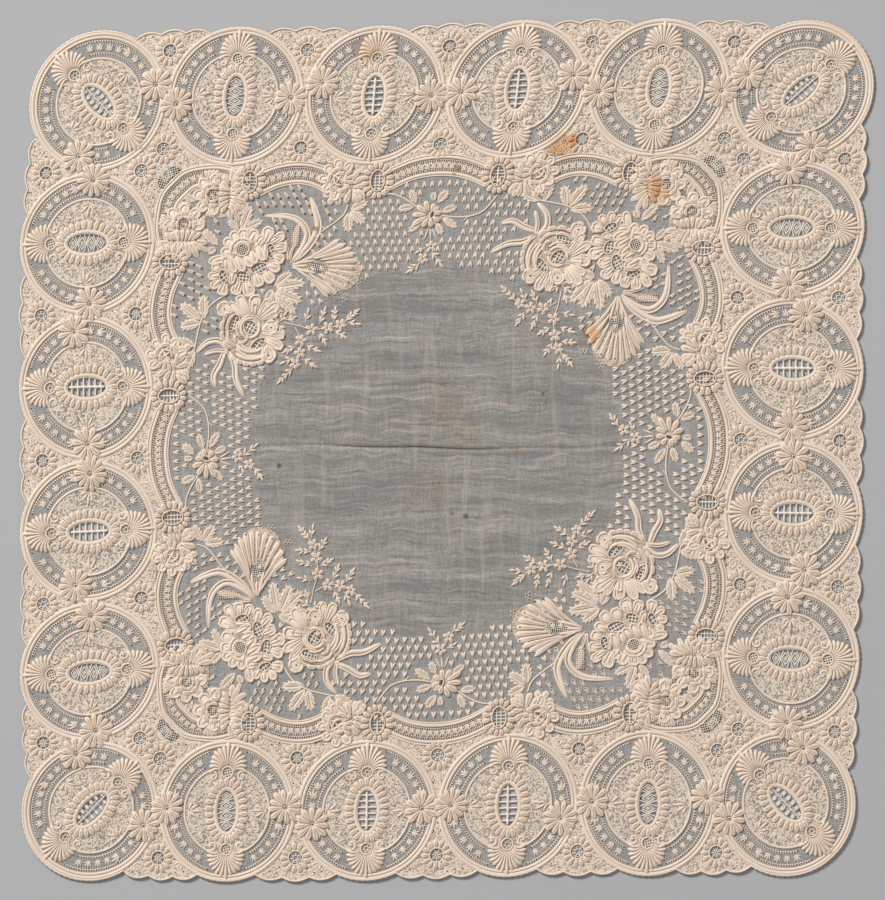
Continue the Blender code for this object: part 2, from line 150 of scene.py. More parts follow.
def arc(radius: float, start: float, end: float, steps: int,
        cx: float = 0.0, cy: float = 0.0, ry: float | None = None) -> Points:
    """Points along an arc of a circle or an ellipse, both ends included.

    Args:
        radius: the radius, or the half width of an ellipse.
        start: the first angle in degrees.
        end: the last angle in degrees.
        steps: how many steps it takes.
        cx: the centre across.
        cy: the centre along.
        ry: the half length of an ellipse.

    Returns:
        The points, one more than the steps.
    """
    a = np.radians(np.linspace(start, end, steps + 1))
    return np.stack([cx + radius * np.cos(a), cy + (ry or radius) * np.sin(a)], axis=1)


def oval(rx: float, ry: float, steps: int, cx: float = 0.0, cy: float = 0.0,
         turn: float = 0.0) -> Points:
    """A closed oval, its first point not repeated."""
    around = turned(arc(rx, 0.0, 360.0, steps, ry=ry)[:-1], turn)
    return around + np.array([cx, cy])


def spiral(start_r: float, end_r: float, start: float, sweep: float, steps: int,
           cx: float = 0.0, cy: float = 0.0) -> Points:
    """Points of a curl that tightens towards its centre."""
    t = np.linspace(0.0, 1.0, steps + 1)
    r = start_r + (end_r - start_r) * t
    a = np.radians(start + sweep * t)
    return np.stack([cx + r * np.cos(a), cy + r * np.sin(a)], axis=1)


def smooth(points: Points, steps: int, closed: bool = False) -> Points:
    """A smooth curve through a few points.

    Args:
        points: the places that it passes through.
        steps: how many steps it takes from one place to the next.
        closed: whether it returns to the first.

    Returns:
        The curve's points.
    """
    points = np.asarray(points, dtype=float)
    count = len(points)
    spans = count if closed else count - 1
    index = np.arange(spans)
    if closed:
        p0, p1, p2, p3 = (points[(index + k) % count] for k in (-1, 0, 1, 2))
    else:
        p0, p1, p2, p3 = (points[np.clip(index + k, 0, count - 1)] for k in (-1, 0, 1, 2))
    t = (np.arange(steps) / steps)[None, :, None]
    p0, p1, p2, p3 = (p[:, None, :] for p in (p0, p1, p2, p3))
    curve = 0.5 * (2.0 * p1 + (p2 - p0) * t + (2.0 * p0 - 5.0 * p1 + 4.0 * p2 - p3) * t ** 2
                   + (3.0 * p1 - p0 - 3.0 * p2 + p3) * t ** 3)
    curve = curve.reshape(-1, 2)
    return curve if closed else np.vstack([curve, points[-1:]])


def inside(points: Points, rim: Points) -> Points:
    """Which points lie inside a closed line."""
    within = np.zeros(len(points), dtype=bool)
    near = np.flatnonzero(np.all((points >= rim.min(axis=0)) & (points <= rim.max(axis=0)), axis=1))
    x, y = points[near, 0], points[near, 1]
    hit = np.zeros(len(near), dtype=bool)
    for (ax, ay), (bx, by) in zip(rim, np.roll(rim, -1, axis=0)):
        if ay != by:
            hit ^= ((ay > y) != (by > y)) & (x < (bx - ax) * (y - ay) / (by - ay) + ax)
    within[near] = hit
    return within


@dataclass
class Lie:
    """The way the cloth lies: its creep out of true, and the height of its ripples."""

    ripple: float = 0.14
    border_wave: float = 0.16
    crease: float = 0.5
    crease_width: float = 0.95
    places: Points = field(init=False)
    weights: Points = field(init=False)
    middle: Points = field(init=False)

    def __post_init__(self) -> None:
        """Solve the thin plate through the creeps."""
        self.places = np.array([turned((c.u, c.v), -90.0 * c.side) for c in CREEPS])
        shifts = np.array([turned((c.along, c.across), -90.0 * c.side) for c in CREEPS])
        count = len(CREEPS)
        plane = np.hstack([np.ones((count, 1)), self.places])
        system = np.zeros((count + 3, count + 3))
        system[:count, :count] = self.pull(self.places)
        system[:count, count:] = plane
        system[count:, :count] = plane.T
        self.weights = np.linalg.solve(system, np.vstack([shifts, np.zeros((3, 2))]))
        self.middle = np.zeros(2)
        edge = self.moved(whole_edge())
        self.middle = 0.5 * (edge.min(axis=0) + edge.max(axis=0))

    def pull(self, points: Points) -> Points:
        """The thin plate's pull of every place on every point."""
        gap = ((points[:, None, :] - self.places[None, :, :]) ** 2).sum(axis=2)
        return gap * np.log(gap + 1e-9)

    def moved(self, points: Points) -> Points:
        """Where points of the even layout lie on the real cloth."""
        plane = np.hstack([np.ones((len(points), 1)), points])
        return points + np.hstack([self.pull(points), plane]) @ self.weights - self.middle

    def height(self, points: Points) -> Points:
        """The cloth's height above its mean at points of the real cloth."""
        x, y = points[:, 0], points[:, 1]
        far = np.hypot(x, y)
        centre = 1.0 / (1.0 + np.exp((far - 118.0) / 9.0))
        drift = 2.2 * np.sin(x / 23.0) + 1.4 * np.sin(x / 9.5 + 1.0)
        ripples = (np.sin((y + drift) / 2.9 + 1.3 * np.sin(x / 37.0))
                   * (0.55 + 0.45 * np.sin(x / 31.0 + y / 17.0))
                   + 0.7 * np.sin((y + 1.6 * drift) / 5.3 + 2.0) * np.sin(x / 44.0 + 0.7)
                   + 0.6 * np.sin((y + 0.8 * drift) / 1.15 + 2.0 * np.sin(y / 13.0))
                   * np.clip(np.sin(x / 27.0 + 1.1 * np.sin(y / 21.0) + 0.9), 0.0, 1.0))
        border = np.sin(x / 15.0 + 0.8) * np.sin(y / 17.0) + 0.6 * np.sin(x / 7.3 - y / 9.1)
        fold = np.clip(1.0 - ((np.abs(x) / 112.0) ** 4), 0.0, 1.0)
        line = y - self.fold_at(x)
        crease = 0.7 * np.exp(-((line + 2.6) / 1.5) ** 2) - np.exp(-(line / self.crease_width) ** 2)
        upright = np.exp(-((x + 6.0) / 3.2) ** 2) * np.clip(1.0 - (y / 105.0) ** 4, 0.0, 1.0)
        return (self.ripple * ripples * centre + self.border_wave * border * (1.0 - centre)
                + self.crease * crease * fold * centre + 0.22 * upright * centre)

    @staticmethod
    def fold_at(x: Points) -> Points:
        """Where the old fold across the middle runs."""
        return 1.9 - 0.9 * np.sin(x / 33.0 + 0.9) - 0.35 * np.sin(x / 8.5)

    def fold_points(self) -> Points:
        """Extra points of the even layout along the fold, so that its trough keeps its shape."""
        x = np.arange(-112.0, 112.0, 1.9)
        rows = [np.column_stack([x, self.fold_at(x) + gap]) for gap in (-3.6, -2.6, -1.7, -1.0, -0.5,
                                                                        0.0, 0.5, 1.0, 1.7)]
        real = np.vstack(rows)
        even = real.copy()
        for _ in range(3):
            even += real - self.moved(even)
        return even

    def laid(self, points: Points, level: Points | float) -> Points:
        """Points of the even layout with a level above the cloth, as places in metres."""
        at = self.moved(points)
        z = CLOTH_Z + self.height(at) + level
        return np.column_stack([at, z]) * MM


def scallops(start: Points, end: Points, count: int = 3, rise: float = 2.1,
             lift: float = 1.5) -> Points:
    """The small scallops between two medallions, from start to end, the end left off."""
    cusps = [np.asarray(start)]
    for i in range(1, count):
        cusps.append(cusps[0] + (np.asarray(end) - cusps[0]) * i / count + np.array([0.0, lift]))
    cusps.append(np.asarray(end))
    t = np.arange(9)[:, None] / 9.0
    runs = []
    for a, b in zip(cusps, cusps[1:]):
        run = b - a
        out = np.array([-run[1], run[0]]) / np.hypot(*run)
        runs.append(a + run * t + out * 4.0 * rise * t * (1.0 - t))
    return np.vstack(runs)


def side_edge() -> Points:
    """One side's edge in its own drawing, from its corner medallion to the next corner."""
    corner = math.degrees(math.asin(CORNER_REACH / CORNER_EDGE_R))
    around = arc(CORNER_EDGE_R, 180.0 + corner, 90.0 - corner, 60, -ROW, ROW)
    runs = [around[:-1]]
    start = around[-1]
    half = math.degrees(math.asin(0.5 * EDGE_CHORD / EDGE_R))
    for k in range(1, MEDALLIONS_PER_SIDE):
        own = arc(EDGE_R, 90.0 + half, 90.0 - half, 22, (k - 2.5) * PITCH, ROW + ROW_BULGE)
        runs.extend([scallops(start, own[0]), own[:-1]])
        start = own[-1]
    runs.append(scallops(start, (ROW - CORNER_REACH, start[1] - ROW_BULGE)))
    return np.vstack(runs)


def whole_edge() -> Points:
    """The whole scalloped edge in the even layout."""
    return np.vstack([turned(side_edge(), -90.0 * side) for side in range(SIDES)])


@dataclass
class Pen:
    """Places a motif that is drawn about its own centre, with +Y to the edge of the cloth."""

    side: int
    u: float = 0.0
    v: float = 0.0
    turn: float = 0.0

    def place(self, points: Points) -> Points:
        """The motif's points in the even layout."""
        own = turned(points, self.turn) + np.array([self.u, self.v])
        return turned(own, -90.0 * self.side)

    def at(self, u: float, v: float, turn: float = 0.0) -> "Pen":
        """A pen for a motif at a place of this one's drawing."""
        spot = turned((u, v), self.turn)
        return Pen(self.side, self.u + spot[0], self.v + spot[1], self.turn + turn)


@dataclass(frozen=True)
class Blank:
    """A flat grid that every stitch of one kind is shaped from."""

    across: Points
    along: Points
    quads: Points

    @staticmethod
    def modelled(columns: int, rows: int) -> "Blank":
        """Add a grid primitive and keep its points, closer together near its rims.

        Args:
            columns: faces across the stitch.
            rows: faces along it.

        Returns:
            The blank, -1 to 1 across and 0 to 1 along.
        """
        bpy.ops.object.select_all(action="DESELECT")
        bpy.ops.mesh.primitive_grid_add(x_subdivisions=columns, y_subdivisions=rows, size=2.0)
        grid = bpy.context.active_object
        count = len(grid.data.vertices)
        flat = np.empty(count * 3)
        grid.data.vertices.foreach_get("co", flat)
        flat = flat.reshape(-1, 3)
        quads = np.array([polygon.vertices[:] for polygon in grid.data.polygons])
        mesh = grid.data
        bpy.data.objects.remove(grid, do_unlink=True)
        bpy.data.meshes.remove(mesh)
        return Blank(np.sin(0.5 * math.pi * flat[:, 0]) * 0.5 + flat[:, 0] * 0.5,
                     0.5 - 0.5 * np.cos(math.pi * (flat[:, 1] + 1.0) * 0.5), quads)


@dataclass
class Sampler:
    """Collects the stitches of one piece and makes them one mesh."""

    name: str
    whole: bool = False
    lobes: list[tuple] = field(default_factory=list)
    fine_lobes: list[tuple] = field(default_factory=list)
    cords: list[tuple] = field(default_factory=list)
    knots: list[tuple] = field(default_factory=list)

    def lobe(self, pen: Pen, start: Points, middle: Points, end: Points, widths: tuple,
             height: float = 0.8, groove: float = 0.0, level: float = 0.0,
             fine: bool = False) -> None:
        """Add one padded satin stitch along a bent line.

        Args:
            pen: places the motif.
            start: where it starts.
            middle: the point that its line bends towards.
            end: where it ends.
            widths: full widths at its start, middle and end.
            height: how far it stands up.
            groove: how deep the slit along its middle is.
            level: its foot above the cloth.
            fine: whether it is small enough for the coarser blank.
        """
        line = pen.place(np.array([start, middle, end]))
        row = (*line.ravel(), *widths, height, groove, level)
        (self.fine_lobes if fine else self.lobes).append(row)

    def ray(self, pen: Pen, centre: Points, aim: float, reach: tuple, widths: tuple,
            height: float = 0.8, groove: float = 0.0, sway: float = 0.0,
            level: float = 0.0, fine: bool = False) -> None:
        """Add a satin stitch that points away from a centre, at an angle from +X."""
        centre = np.asarray(centre, dtype=float)
        start = centre + polar(reach[0], aim)
        end = centre + polar(reach[1], aim)
        side = polar(sway, aim + 90.0)
        self.lobe(pen, start, 0.5 * (start + end) + side, end, widths, height, groove, level, fine)

    def cord(self, pen: Pen, points: Points, width: float, height: float = 0.6,
             closed: bool = False, level: float = 0.0, taper: bool = False) -> None:
        """Add a couched cord along a line."""
        self.cords.append((pen.place(points), width, height, closed, level, taper))

    def knot(self, pen: Pen, points: Points, radius: float, height: float,
             level: float = 0.0) -> None:
        """Add small round knots at points."""
        for x, y in pen.place(np.atleast_2d(points)):
            self.knots.append((x, y, radius, height, level))

    def spots(self) -> Points:
        """Places that the stitches cover, in the even layout."""
        found = [np.zeros((0, 2))]
        for rows in (self.lobes, self.fine_lobes):
            if rows:
                ends = np.array(rows)[:, :6].reshape(-1, 3, 2)
                for t in (0.0, 0.25, 0.5, 0.75, 1.0):
                    found.append(ends[:, 0] * (1 - t) ** 2 + ends[:, 1] * 2 * t * (1 - t) + ends[:, 2] * t ** 2)
        found.extend(points for points, *_ in self.cords)
        if self.knots:
            found.append(np.array(self.knots)[:, :2])
        return np.vstack(found)

    @staticmethod
    def shaped(rows: list[tuple], blank: Blank) -> tuple[Points, Points, Points, Points, Points]:
        """Shape every satin stitch of one kind from its blank.

        Returns:
            Places in the even layout, levels, faces, thread coordinates and shades.
        """
        table = np.array(rows)
        count = len(table)
        p0, p1, p2 = table[:, None, 0:2], table[:, None, 2:4], table[:, None, 4:6]
        t, s = blank.along[None, :, None], blank.across[None, :]
        line = p0 * (1 - t) ** 2 + 2 * p1 * t * (1 - t) + p2 * t ** 2
        way = 2 * (p1 - p0) * (1 - t) + 2 * (p2 - p1) * t
        way = way / np.maximum(np.linalg.norm(way, axis=2, keepdims=True), 1e-6)
        length = np.maximum(np.linalg.norm(p1 - p0, axis=2) + np.linalg.norm(p2 - p1, axis=2), 0.2)
        t = t[..., 0]
        w0, w1, w2 = table[:, 6:7], table[:, 7:8], table[:, 8:9]
        wide = w0 * (1 - t) * (1 - 2 * t) + 4 * w1 * t * (1 - t) + w2 * t * (2 * t - 1)
        base = np.clip(0.5 * w0 / length, 0.04, 0.5)
        tip = np.clip(0.5 * w2 / length, 0.04, 0.5)
        out = np.maximum((base - t) / base, (t - 1 + tip) / tip)
        round_ = np.sqrt(np.clip(1 - np.clip(out, 0, 1) ** 2, 0.02, 1))
        half = 0.5 * np.maximum(wide, 0.12) * round_
        across = np.stack([-way[..., 1], way[..., 0]], axis=2)
        places = line + across * (half * s)[..., None]
        dome = np.sqrt(np.clip(1 - np.abs(s) ** 2.8, 0, 1)) * round_ ** 0.5
        slit = np.exp(-(s / 0.2) ** 2) * np.clip((t - 0.12) * 6, 0, 1) * np.clip((0.97 - t) * 7, 0, 1)
        height, groove, level = table[:, 9:10], table[:, 10:11], table[:, 11:12]
        z = level - 0.12 + (RELIEF * height + 0.12) * dome - groove * slit
        faces = (np.arange(count) * len(blank.along))[:, None, None] + blank.quads[None, :, ::-1]
        threads = np.stack([t * length + 0 * s, half * s], axis=2)
        # Painted shade: darkest at each stitch's edges and along its slit, where stitches meet.
        shade = np.maximum(np.abs(s) ** 4 + 0 * t, 0.9 * slit * (groove > 0))
        return (places.reshape(-1, 2), z.ravel(), faces.reshape(-1, 4),
                threads.reshape(-1, 2), (shade + 0 * t).ravel())

    @staticmethod
    def couched(points: Points, width: float, height: float, closed: bool, level: float,
                taper: bool, whole: bool) -> tuple[Points, Points, Points, Points, Points]:
        """Shape one cord: a half-round run along its line, or a round one where it is seen from below."""
        if closed:
            way = np.roll(points, -1, axis=0) - np.roll(points, 1, axis=0)
        else:
            way = np.gradient(points, axis=0)
        way = way / np.maximum(np.linalg.norm(way, axis=1, keepdims=True), 1e-9)
        across = np.stack([-way[:, 1], way[:, 0]], axis=1)
        section = np.array([-1.0, -0.62, 0.0, 0.62, 1.0])
        lift = np.sqrt(1 - section ** 2)
        if whole:
            section, lift = np.append(section, 0.0), np.append(lift, -0.3)
        count, ribs = len(points), len(section)
        t = np.linspace(0.0, 1.0, count)
        swell = np.clip(1.6 * np.clip(4 * t * (1 - t), 0, 1) ** 0.75, 0.07,
                        1.0) if taper else np.ones(count)
        half = 0.5 * width * swell
        places = points[:, None, :] + across[:, None, :] * (half[:, None] * section)[..., None]
        dome = lift[None, :] * swell[:, None]
        z = level - 0.12 + (RELIEF * height + 0.12) * dome
        first = np.arange(count if closed else count - 1)
        second = (first + 1) % count
        rib = np.arange(ribs if whole else ribs - 1)
        beside = (rib + 1) % ribs
        a, b = first[:, None] * ribs, second[:, None] * ribs
        faces = np.stack([a + rib, b + rib, b + beside, a + beside], axis=2).reshape(-1, 4)
        steps = np.linalg.norm(np.diff(points, axis=0, prepend=points[:1]), axis=1)
        run = np.cumsum(steps)
        threads = np.stack([np.repeat(run, ribs), (half[:, None] * section).ravel()], axis=1)
        # Painted shade for the floss: darker towards the cord's edges.
        shade = np.tile(np.abs(section) ** 4, count)
        return places.reshape(-1, 2), z.ravel(), faces, threads, shade

    @staticmethod
    def knotted(rows: list[tuple]) -> tuple[Points, Points, Points, Points, Points]:
        """Shape the round knots, each a low dome of two rings, or the painted shade of pinholes, each a flat disc."""
        table = np.array(rows)
        count = len(table)
        sides = 6
        angles = np.arange(sides) * math.tau / sides
        ring = np.stack([np.cos(angles), np.sin(angles)], axis=1)
        flat = float(table[:, 3].max()) < 0.1
        unit = np.vstack([ring, 0.62 * ring, [[0.0, 0.0]]])
        lift = np.concatenate([np.zeros(sides), np.full(sides, 0.75), [1.0]])
        if flat:
            unit, lift = np.vstack([ring, [[0.0, 0.0]]]), np.ones(sides + 1)
        places = table[:, None, 0:2] + unit[None] * table[:, None, 2:3]
        z = table[:, 4:5] - 0.1 + (table[:, 3:4] + 0.1) * lift[None]
        n = np.arange(sides)
        m = (n + 1) % sides
        skirt = np.stack([n, m, m + sides, n + sides], axis=1)
        k = np.arange(0, sides, 2)
        cap = np.stack([k + sides, (k + 1) % sides + sides, (k + 2) % sides + sides,
                        np.full(len(k), 2 * sides)], axis=1)
        quads = cap - sides if flat else np.vstack([skirt, cap])
        faces = (np.arange(count) * len(unit))[:, None, None] + quads[None]
        threads = places - table[:, None, 0:2]
        # Painted shade for the floss: darker round each knot's foot.
        shade = np.tile(1.0 - lift, count)
        return (places.reshape(-1, 2), z.ravel(), faces.reshape(-1, 4),
                threads.reshape(-1, 2), shade)

    def made(self, lie: Lie, blanks: tuple[Blank, Blank]) -> bpy.types.Object:
        """Make the piece's mesh, with thread coordinates as its UV map and a painted shade for the edges and grooves of
        its stitches.

        Args:
            lie: the way the cloth lies.
            blanks: the full and the fine blank.

        Returns:
            The new object.
        """
        parts = []
        if self.lobes:
            parts.append(self.shaped(self.lobes, blanks[0]))
        if self.fine_lobes:
            parts.append(self.shaped(self.fine_lobes, blanks[1]))
        if self.knots:
            parts.append(self.knotted(self.knots))
        parts.extend(self.couched(*cord, self.whole) for cord in self.cords)
        starts = np.cumsum([0] + [len(part[0]) for part in parts[:-1]])
        faces = np.vstack([part[2] + start for part, start in zip(parts, starts)])
        places = np.vstack([part[0] for part in parts])
        levels = np.concatenate([part[1] for part in parts])
        threads = np.vstack([part[3] for part in parts])
        shades = np.concatenate([part[4] for part in parts])
        return new_piece(self.name, lie.laid(places, levels), faces, threads, shades)


def new_piece(name: str, verts: Points, faces: Points, threads: Points | None = None,
              shades: Points | None = None) -> bpy.types.Object:
    """Make an object from arrays, its place in its mesh.

    Args:
        name: the piece's name.
        verts: places in metres.
        faces: rows of three or four corners.
        threads: each corner's distance along and across its stitch, in millimetres.
        shades: how far each corner lies in a groove, 0 to 1, which the finishes darken as painted shade.

    Returns:
        The object, shaded smooth.
    """
    mesh = bpy.data.meshes.new(name)
    corners = faces.shape[1]
    mesh.vertices.add(len(verts))
    mesh.vertices.foreach_set("co", np.ascontiguousarray(verts, dtype=np.float32).ravel())
    mesh.loops.add(faces.size)
    mesh.loops.foreach_set("vertex_index", faces.ravel().astype(np.int32))
    mesh.polygons.add(len(faces))
    mesh.polygons.foreach_set("loop_start", np.arange(len(faces), dtype=np.int32) * corners)
    mesh.polygons.foreach_set("loop_total", np.full(len(faces), corners, dtype=np.int32))
    if threads is not None:
        layer = mesh.uv_layers.new(name="threads")
        layer.data.foreach_set("uv", threads[faces.ravel()].astype(np.float32).ravel())
    if shades is not None:
        groove = mesh.attributes.new("groove", "FLOAT", "POINT")
        groove.data.foreach_set("value", shades.astype(np.float32))
    mesh.update()
    mesh.validate()
    mesh.shade_smooth()
    piece = bpy.data.objects.new(name, mesh)
    bpy.context.scene.collection.objects.link(piece)
    return piece


def linear(code: str) -> tuple[float, float, float, float]:
    """An sRGB hex colour as the linear values that shaders take."""
    values = [int(code[i:i + 2], 16) / 255.0 for i in (0, 2, 4)]
    return (*(v / 12.92 if v <= 0.04045 else ((v + 0.055) / 1.055) ** 2.4 for v in values), 1.0)


@dataclass(frozen=True)
class Stain:
    """A spot of age on the cloth, in millimetres on the real cloth."""

    x: float
    y: float
    radius: float
    strength: float
    tone: str = "EFBF72"


STAINS = (
    Stain(60.5, 157.0, 5.4, 0.75), Stain(65.5, 160.0, 3.4, 0.7), Stain(54.0, 155.0, 3.0, 0.6),
    Stain(108.5, 133.0, 5.4, 0.66), Stain(108.0, 140.0, 3.2, 0.45), Stain(75.5, 60.0, 4.6, 0.6),
    Stain(-42.5, 206.0, 7.0, 0.25), Stain(-67.6, 114.6, 1.2, 0.8, "A98A5E"),
    Stain(6.0, 146.0, 1.7, 0.8, "B98D62"), Stain(4.0, 143.0, 1.2, 0.7, "B98D62"),
    Stain(-86.5, -8.0, 1.2, 0.9, "A9825C"), Stain(50.0, 29.5, 1.0, 0.8, "A9825C"),
    Stain(10.0, -34.0, 1.4, 0.9, "A9825C"), Stain(3.0, -32.5, 1.2, 0.6, "B98D62"),
    Stain(-3.0, 22.0, 13.0, 0.2), Stain(9.0, 9.0, 8.0, 0.22), Stain(-8.0, -22.0, 11.0, 0.14),
    Stain(-28.0, 48.0, 1.6, 0.4), Stain(33.0, 26.0, 2.4, 0.35), Stain(37.0, 0.0, 2.0, 0.4),
)


class Nodes:
    """A material's node tree, filled one node at a time."""

    def __init__(self, name: str) -> None:
        """Start a material with a Principled shader.

        Args:
            name: the material's name.
        """
        self.material = bpy.data.materials.new(name)
        self.material.use_nodes = True
        self.tree = self.material.node_tree
        self.shader = self.tree.nodes["Principled BSDF"]

    def add(self, kind: str, inputs: dict | None = None, **settings) -> bpy.types.Node:
        """Add a node with its settings and inputs.

        Args:
            kind: the node's type name.
            inputs: each input's value, or the output that feeds it.
            settings: the node's own settings.

        Returns:
            The node.
        """
        node = self.tree.nodes.new(kind)
        for name, value in settings.items():
            setattr(node, name, value)
        for name, value in (inputs or {}).items():
            self.feed(node.inputs[name], value)
        return node

    def feed(self, socket: bpy.types.NodeSocket, value: object) -> None:
        """Set a socket's value, or link an output to it."""
        if isinstance(value, bpy.types.NodeSocket):
            self.tree.links.new(value, socket)
        else:
            socket.default_value = value

    def mix(self, factor: object, first: object, second: object,
            blend: str = "MIX") -> bpy.types.NodeSocket:
        """Mix two colours."""
        node = self.add("ShaderNodeMix", data_type="RGBA", blend_type=blend)
        for socket, value in zip((node.inputs[0], node.inputs[6], node.inputs[7]),
                                 (factor, first, second)):
            self.feed(socket, value)
        return node.outputs[2]

    def sum(self, operation: str, first: object, second: object = 0.0,
            clamp: bool = False) -> bpy.types.NodeSocket:
        """Work out one number from two."""
        node = self.add("ShaderNodeMath", operation=operation, use_clamp=clamp)
        self.feed(node.inputs[0], first)
        self.feed(node.inputs[1], second)
        return node.outputs[0]

    def ranged(self, value: object, low: float, high: float, to_low: float = 0.0,
               to_high: float = 1.0) -> bpy.types.NodeSocket:
        """Map a number from one range to another, held at the ends."""
        names = ("Value", "From Min", "From Max", "To Min", "To Max")
        node = self.add("ShaderNodeMapRange", dict(zip(names, (value, low, high, to_low, to_high))))
        return node.outputs["Result"]

    def place(self, scale: tuple = (1.0, 1.0, 1.0), turn: float = 0.0) -> bpy.types.NodeSocket:
        """Object coordinates, scaled and turned for a pattern."""
        where = self.add("ShaderNodeTexCoord").outputs["Object"]
        mapping = self.add("ShaderNodeMapping", {"Vector": where, "Scale": scale,
                                                 "Rotation": (0.0, 0.0, math.radians(turn))})
        return mapping.outputs["Vector"]

    def noise(self, scale: float, vector: object = None, detail: float = 2.0,
              rough: float = 0.5) -> bpy.types.NodeSocket:
        """Noise of one scale, in repeats a metre."""
        where = vector if vector is not None else self.place()
        node = self.add("ShaderNodeTexNoise", {"Vector": where, "Scale": scale,
                                               "Detail": detail, "Roughness": rough})
        return node.outputs["Fac"]

    def stained(self, colour: object) -> bpy.types.NodeSocket:
        """Lay the cloth's spots of age over a colour, each with a ragged edge."""
        where = self.place()
        ragged = self.sum("MULTIPLY", self.sum("SUBTRACT", self.noise(260.0, where, 3.0, 0.55), 0.5),
                          2.2)
        for stain in STAINS:
            centre = (stain.x * MM, stain.y * MM, 1.2 * MM)
            gap = self.add("ShaderNodeVectorMath", {0: where, 1: centre}, operation="DISTANCE")
            reach = self.sum("DIVIDE", gap.outputs["Value"], stain.radius * MM)
            soft = self.ranged(self.sum("ADD", reach, ragged), 1.4, 0.45, 0.0, stain.strength)
            colour = self.mix(soft, colour, linear(stain.tone), "MULTIPLY")
        return colour


class Finish:
    """What every finish shares."""

    def dress(self, *pieces: bpy.types.Object) -> None:
        """Give pieces this finish."""
        material = self.material()
        for piece in pieces:
            piece.data.materials.clear()
            piece.data.materials.append(material)

    def material(self) -> bpy.types.Material:
        """The finish's material."""
        raise NotImplementedError


@dataclass(frozen=True)
class CottonFloss(Finish):
    """Mercerised cotton floss in satin stitch: cream, softly lustrous along its threads."""

    light: str = "ECD9C7"
    groove_shade: str = "A68D77"
    thread: float = 1.05
    roughness: float = 0.62

    def material(self) -> bpy.types.Material:
        """Threads laid side by side, with painted shade where two stitches meet and along their slits, and spotted with
        age.
        """
        # Cotton floss: soft sheen, no gloss. The threads are about 0.3 mm, drawn at 1 mm to show.
        nodes = Nodes("satin-stitched cotton floss")
        threads = nodes.add("ShaderNodeUVMap", uv_map="threads").outputs["UV"]
        stripe = nodes.add("ShaderNodeTexWave", {"Vector": threads,
                                                 "Scale": 0.05 / self.thread * math.tau,
                                                 "Distortion": 1.2, "Detail": 1.0, "Detail Scale": 1.5},
                           bands_direction="X", wave_profile="SIN").outputs["Fac"]
        # Painted shade: the groove attribute darkens each stitch towards its edges and its slit.
        groove = nodes.add("ShaderNodeAttribute", attribute_name="groove").outputs["Fac"]
        patch = nodes.ranged(nodes.noise(38.0, detail=3.0), 0.3, 0.7)
        base = nodes.mix(patch, linear(self.light), linear("E3CFBB"))
        base = nodes.mix(nodes.ranged(stripe, 0.0, 0.6, 0.12, 0.0), base, linear("CDB99E"))
        base = nodes.mix(nodes.ranged(groove, 0.15, 0.9, 0.0, 0.9), base, linear(self.groove_shade))
        nodes.feed(nodes.shader.inputs["Base Color"], nodes.stained(base))
        nodes.shader.inputs["Roughness"].default_value = self.roughness
        nodes.shader.inputs["Sheen Weight"].default_value = 0.12
        nodes.shader.inputs["Specular IOR Level"].default_value = 0.3
        fuzz = nodes.noise(2600.0, detail=2.0)
        relief = nodes.sum("ADD", nodes.sum("MULTIPLY", stripe, 0.3), nodes.sum("MULTIPLY", fuzz, 0.5))
        bump = nodes.add("ShaderNodeBump", {"Height": relief, "Strength": 0.45, "Distance": 0.00018})
        nodes.feed(nodes.shader.inputs["Normal"], bump.outputs["Normal"])
        return nodes.material


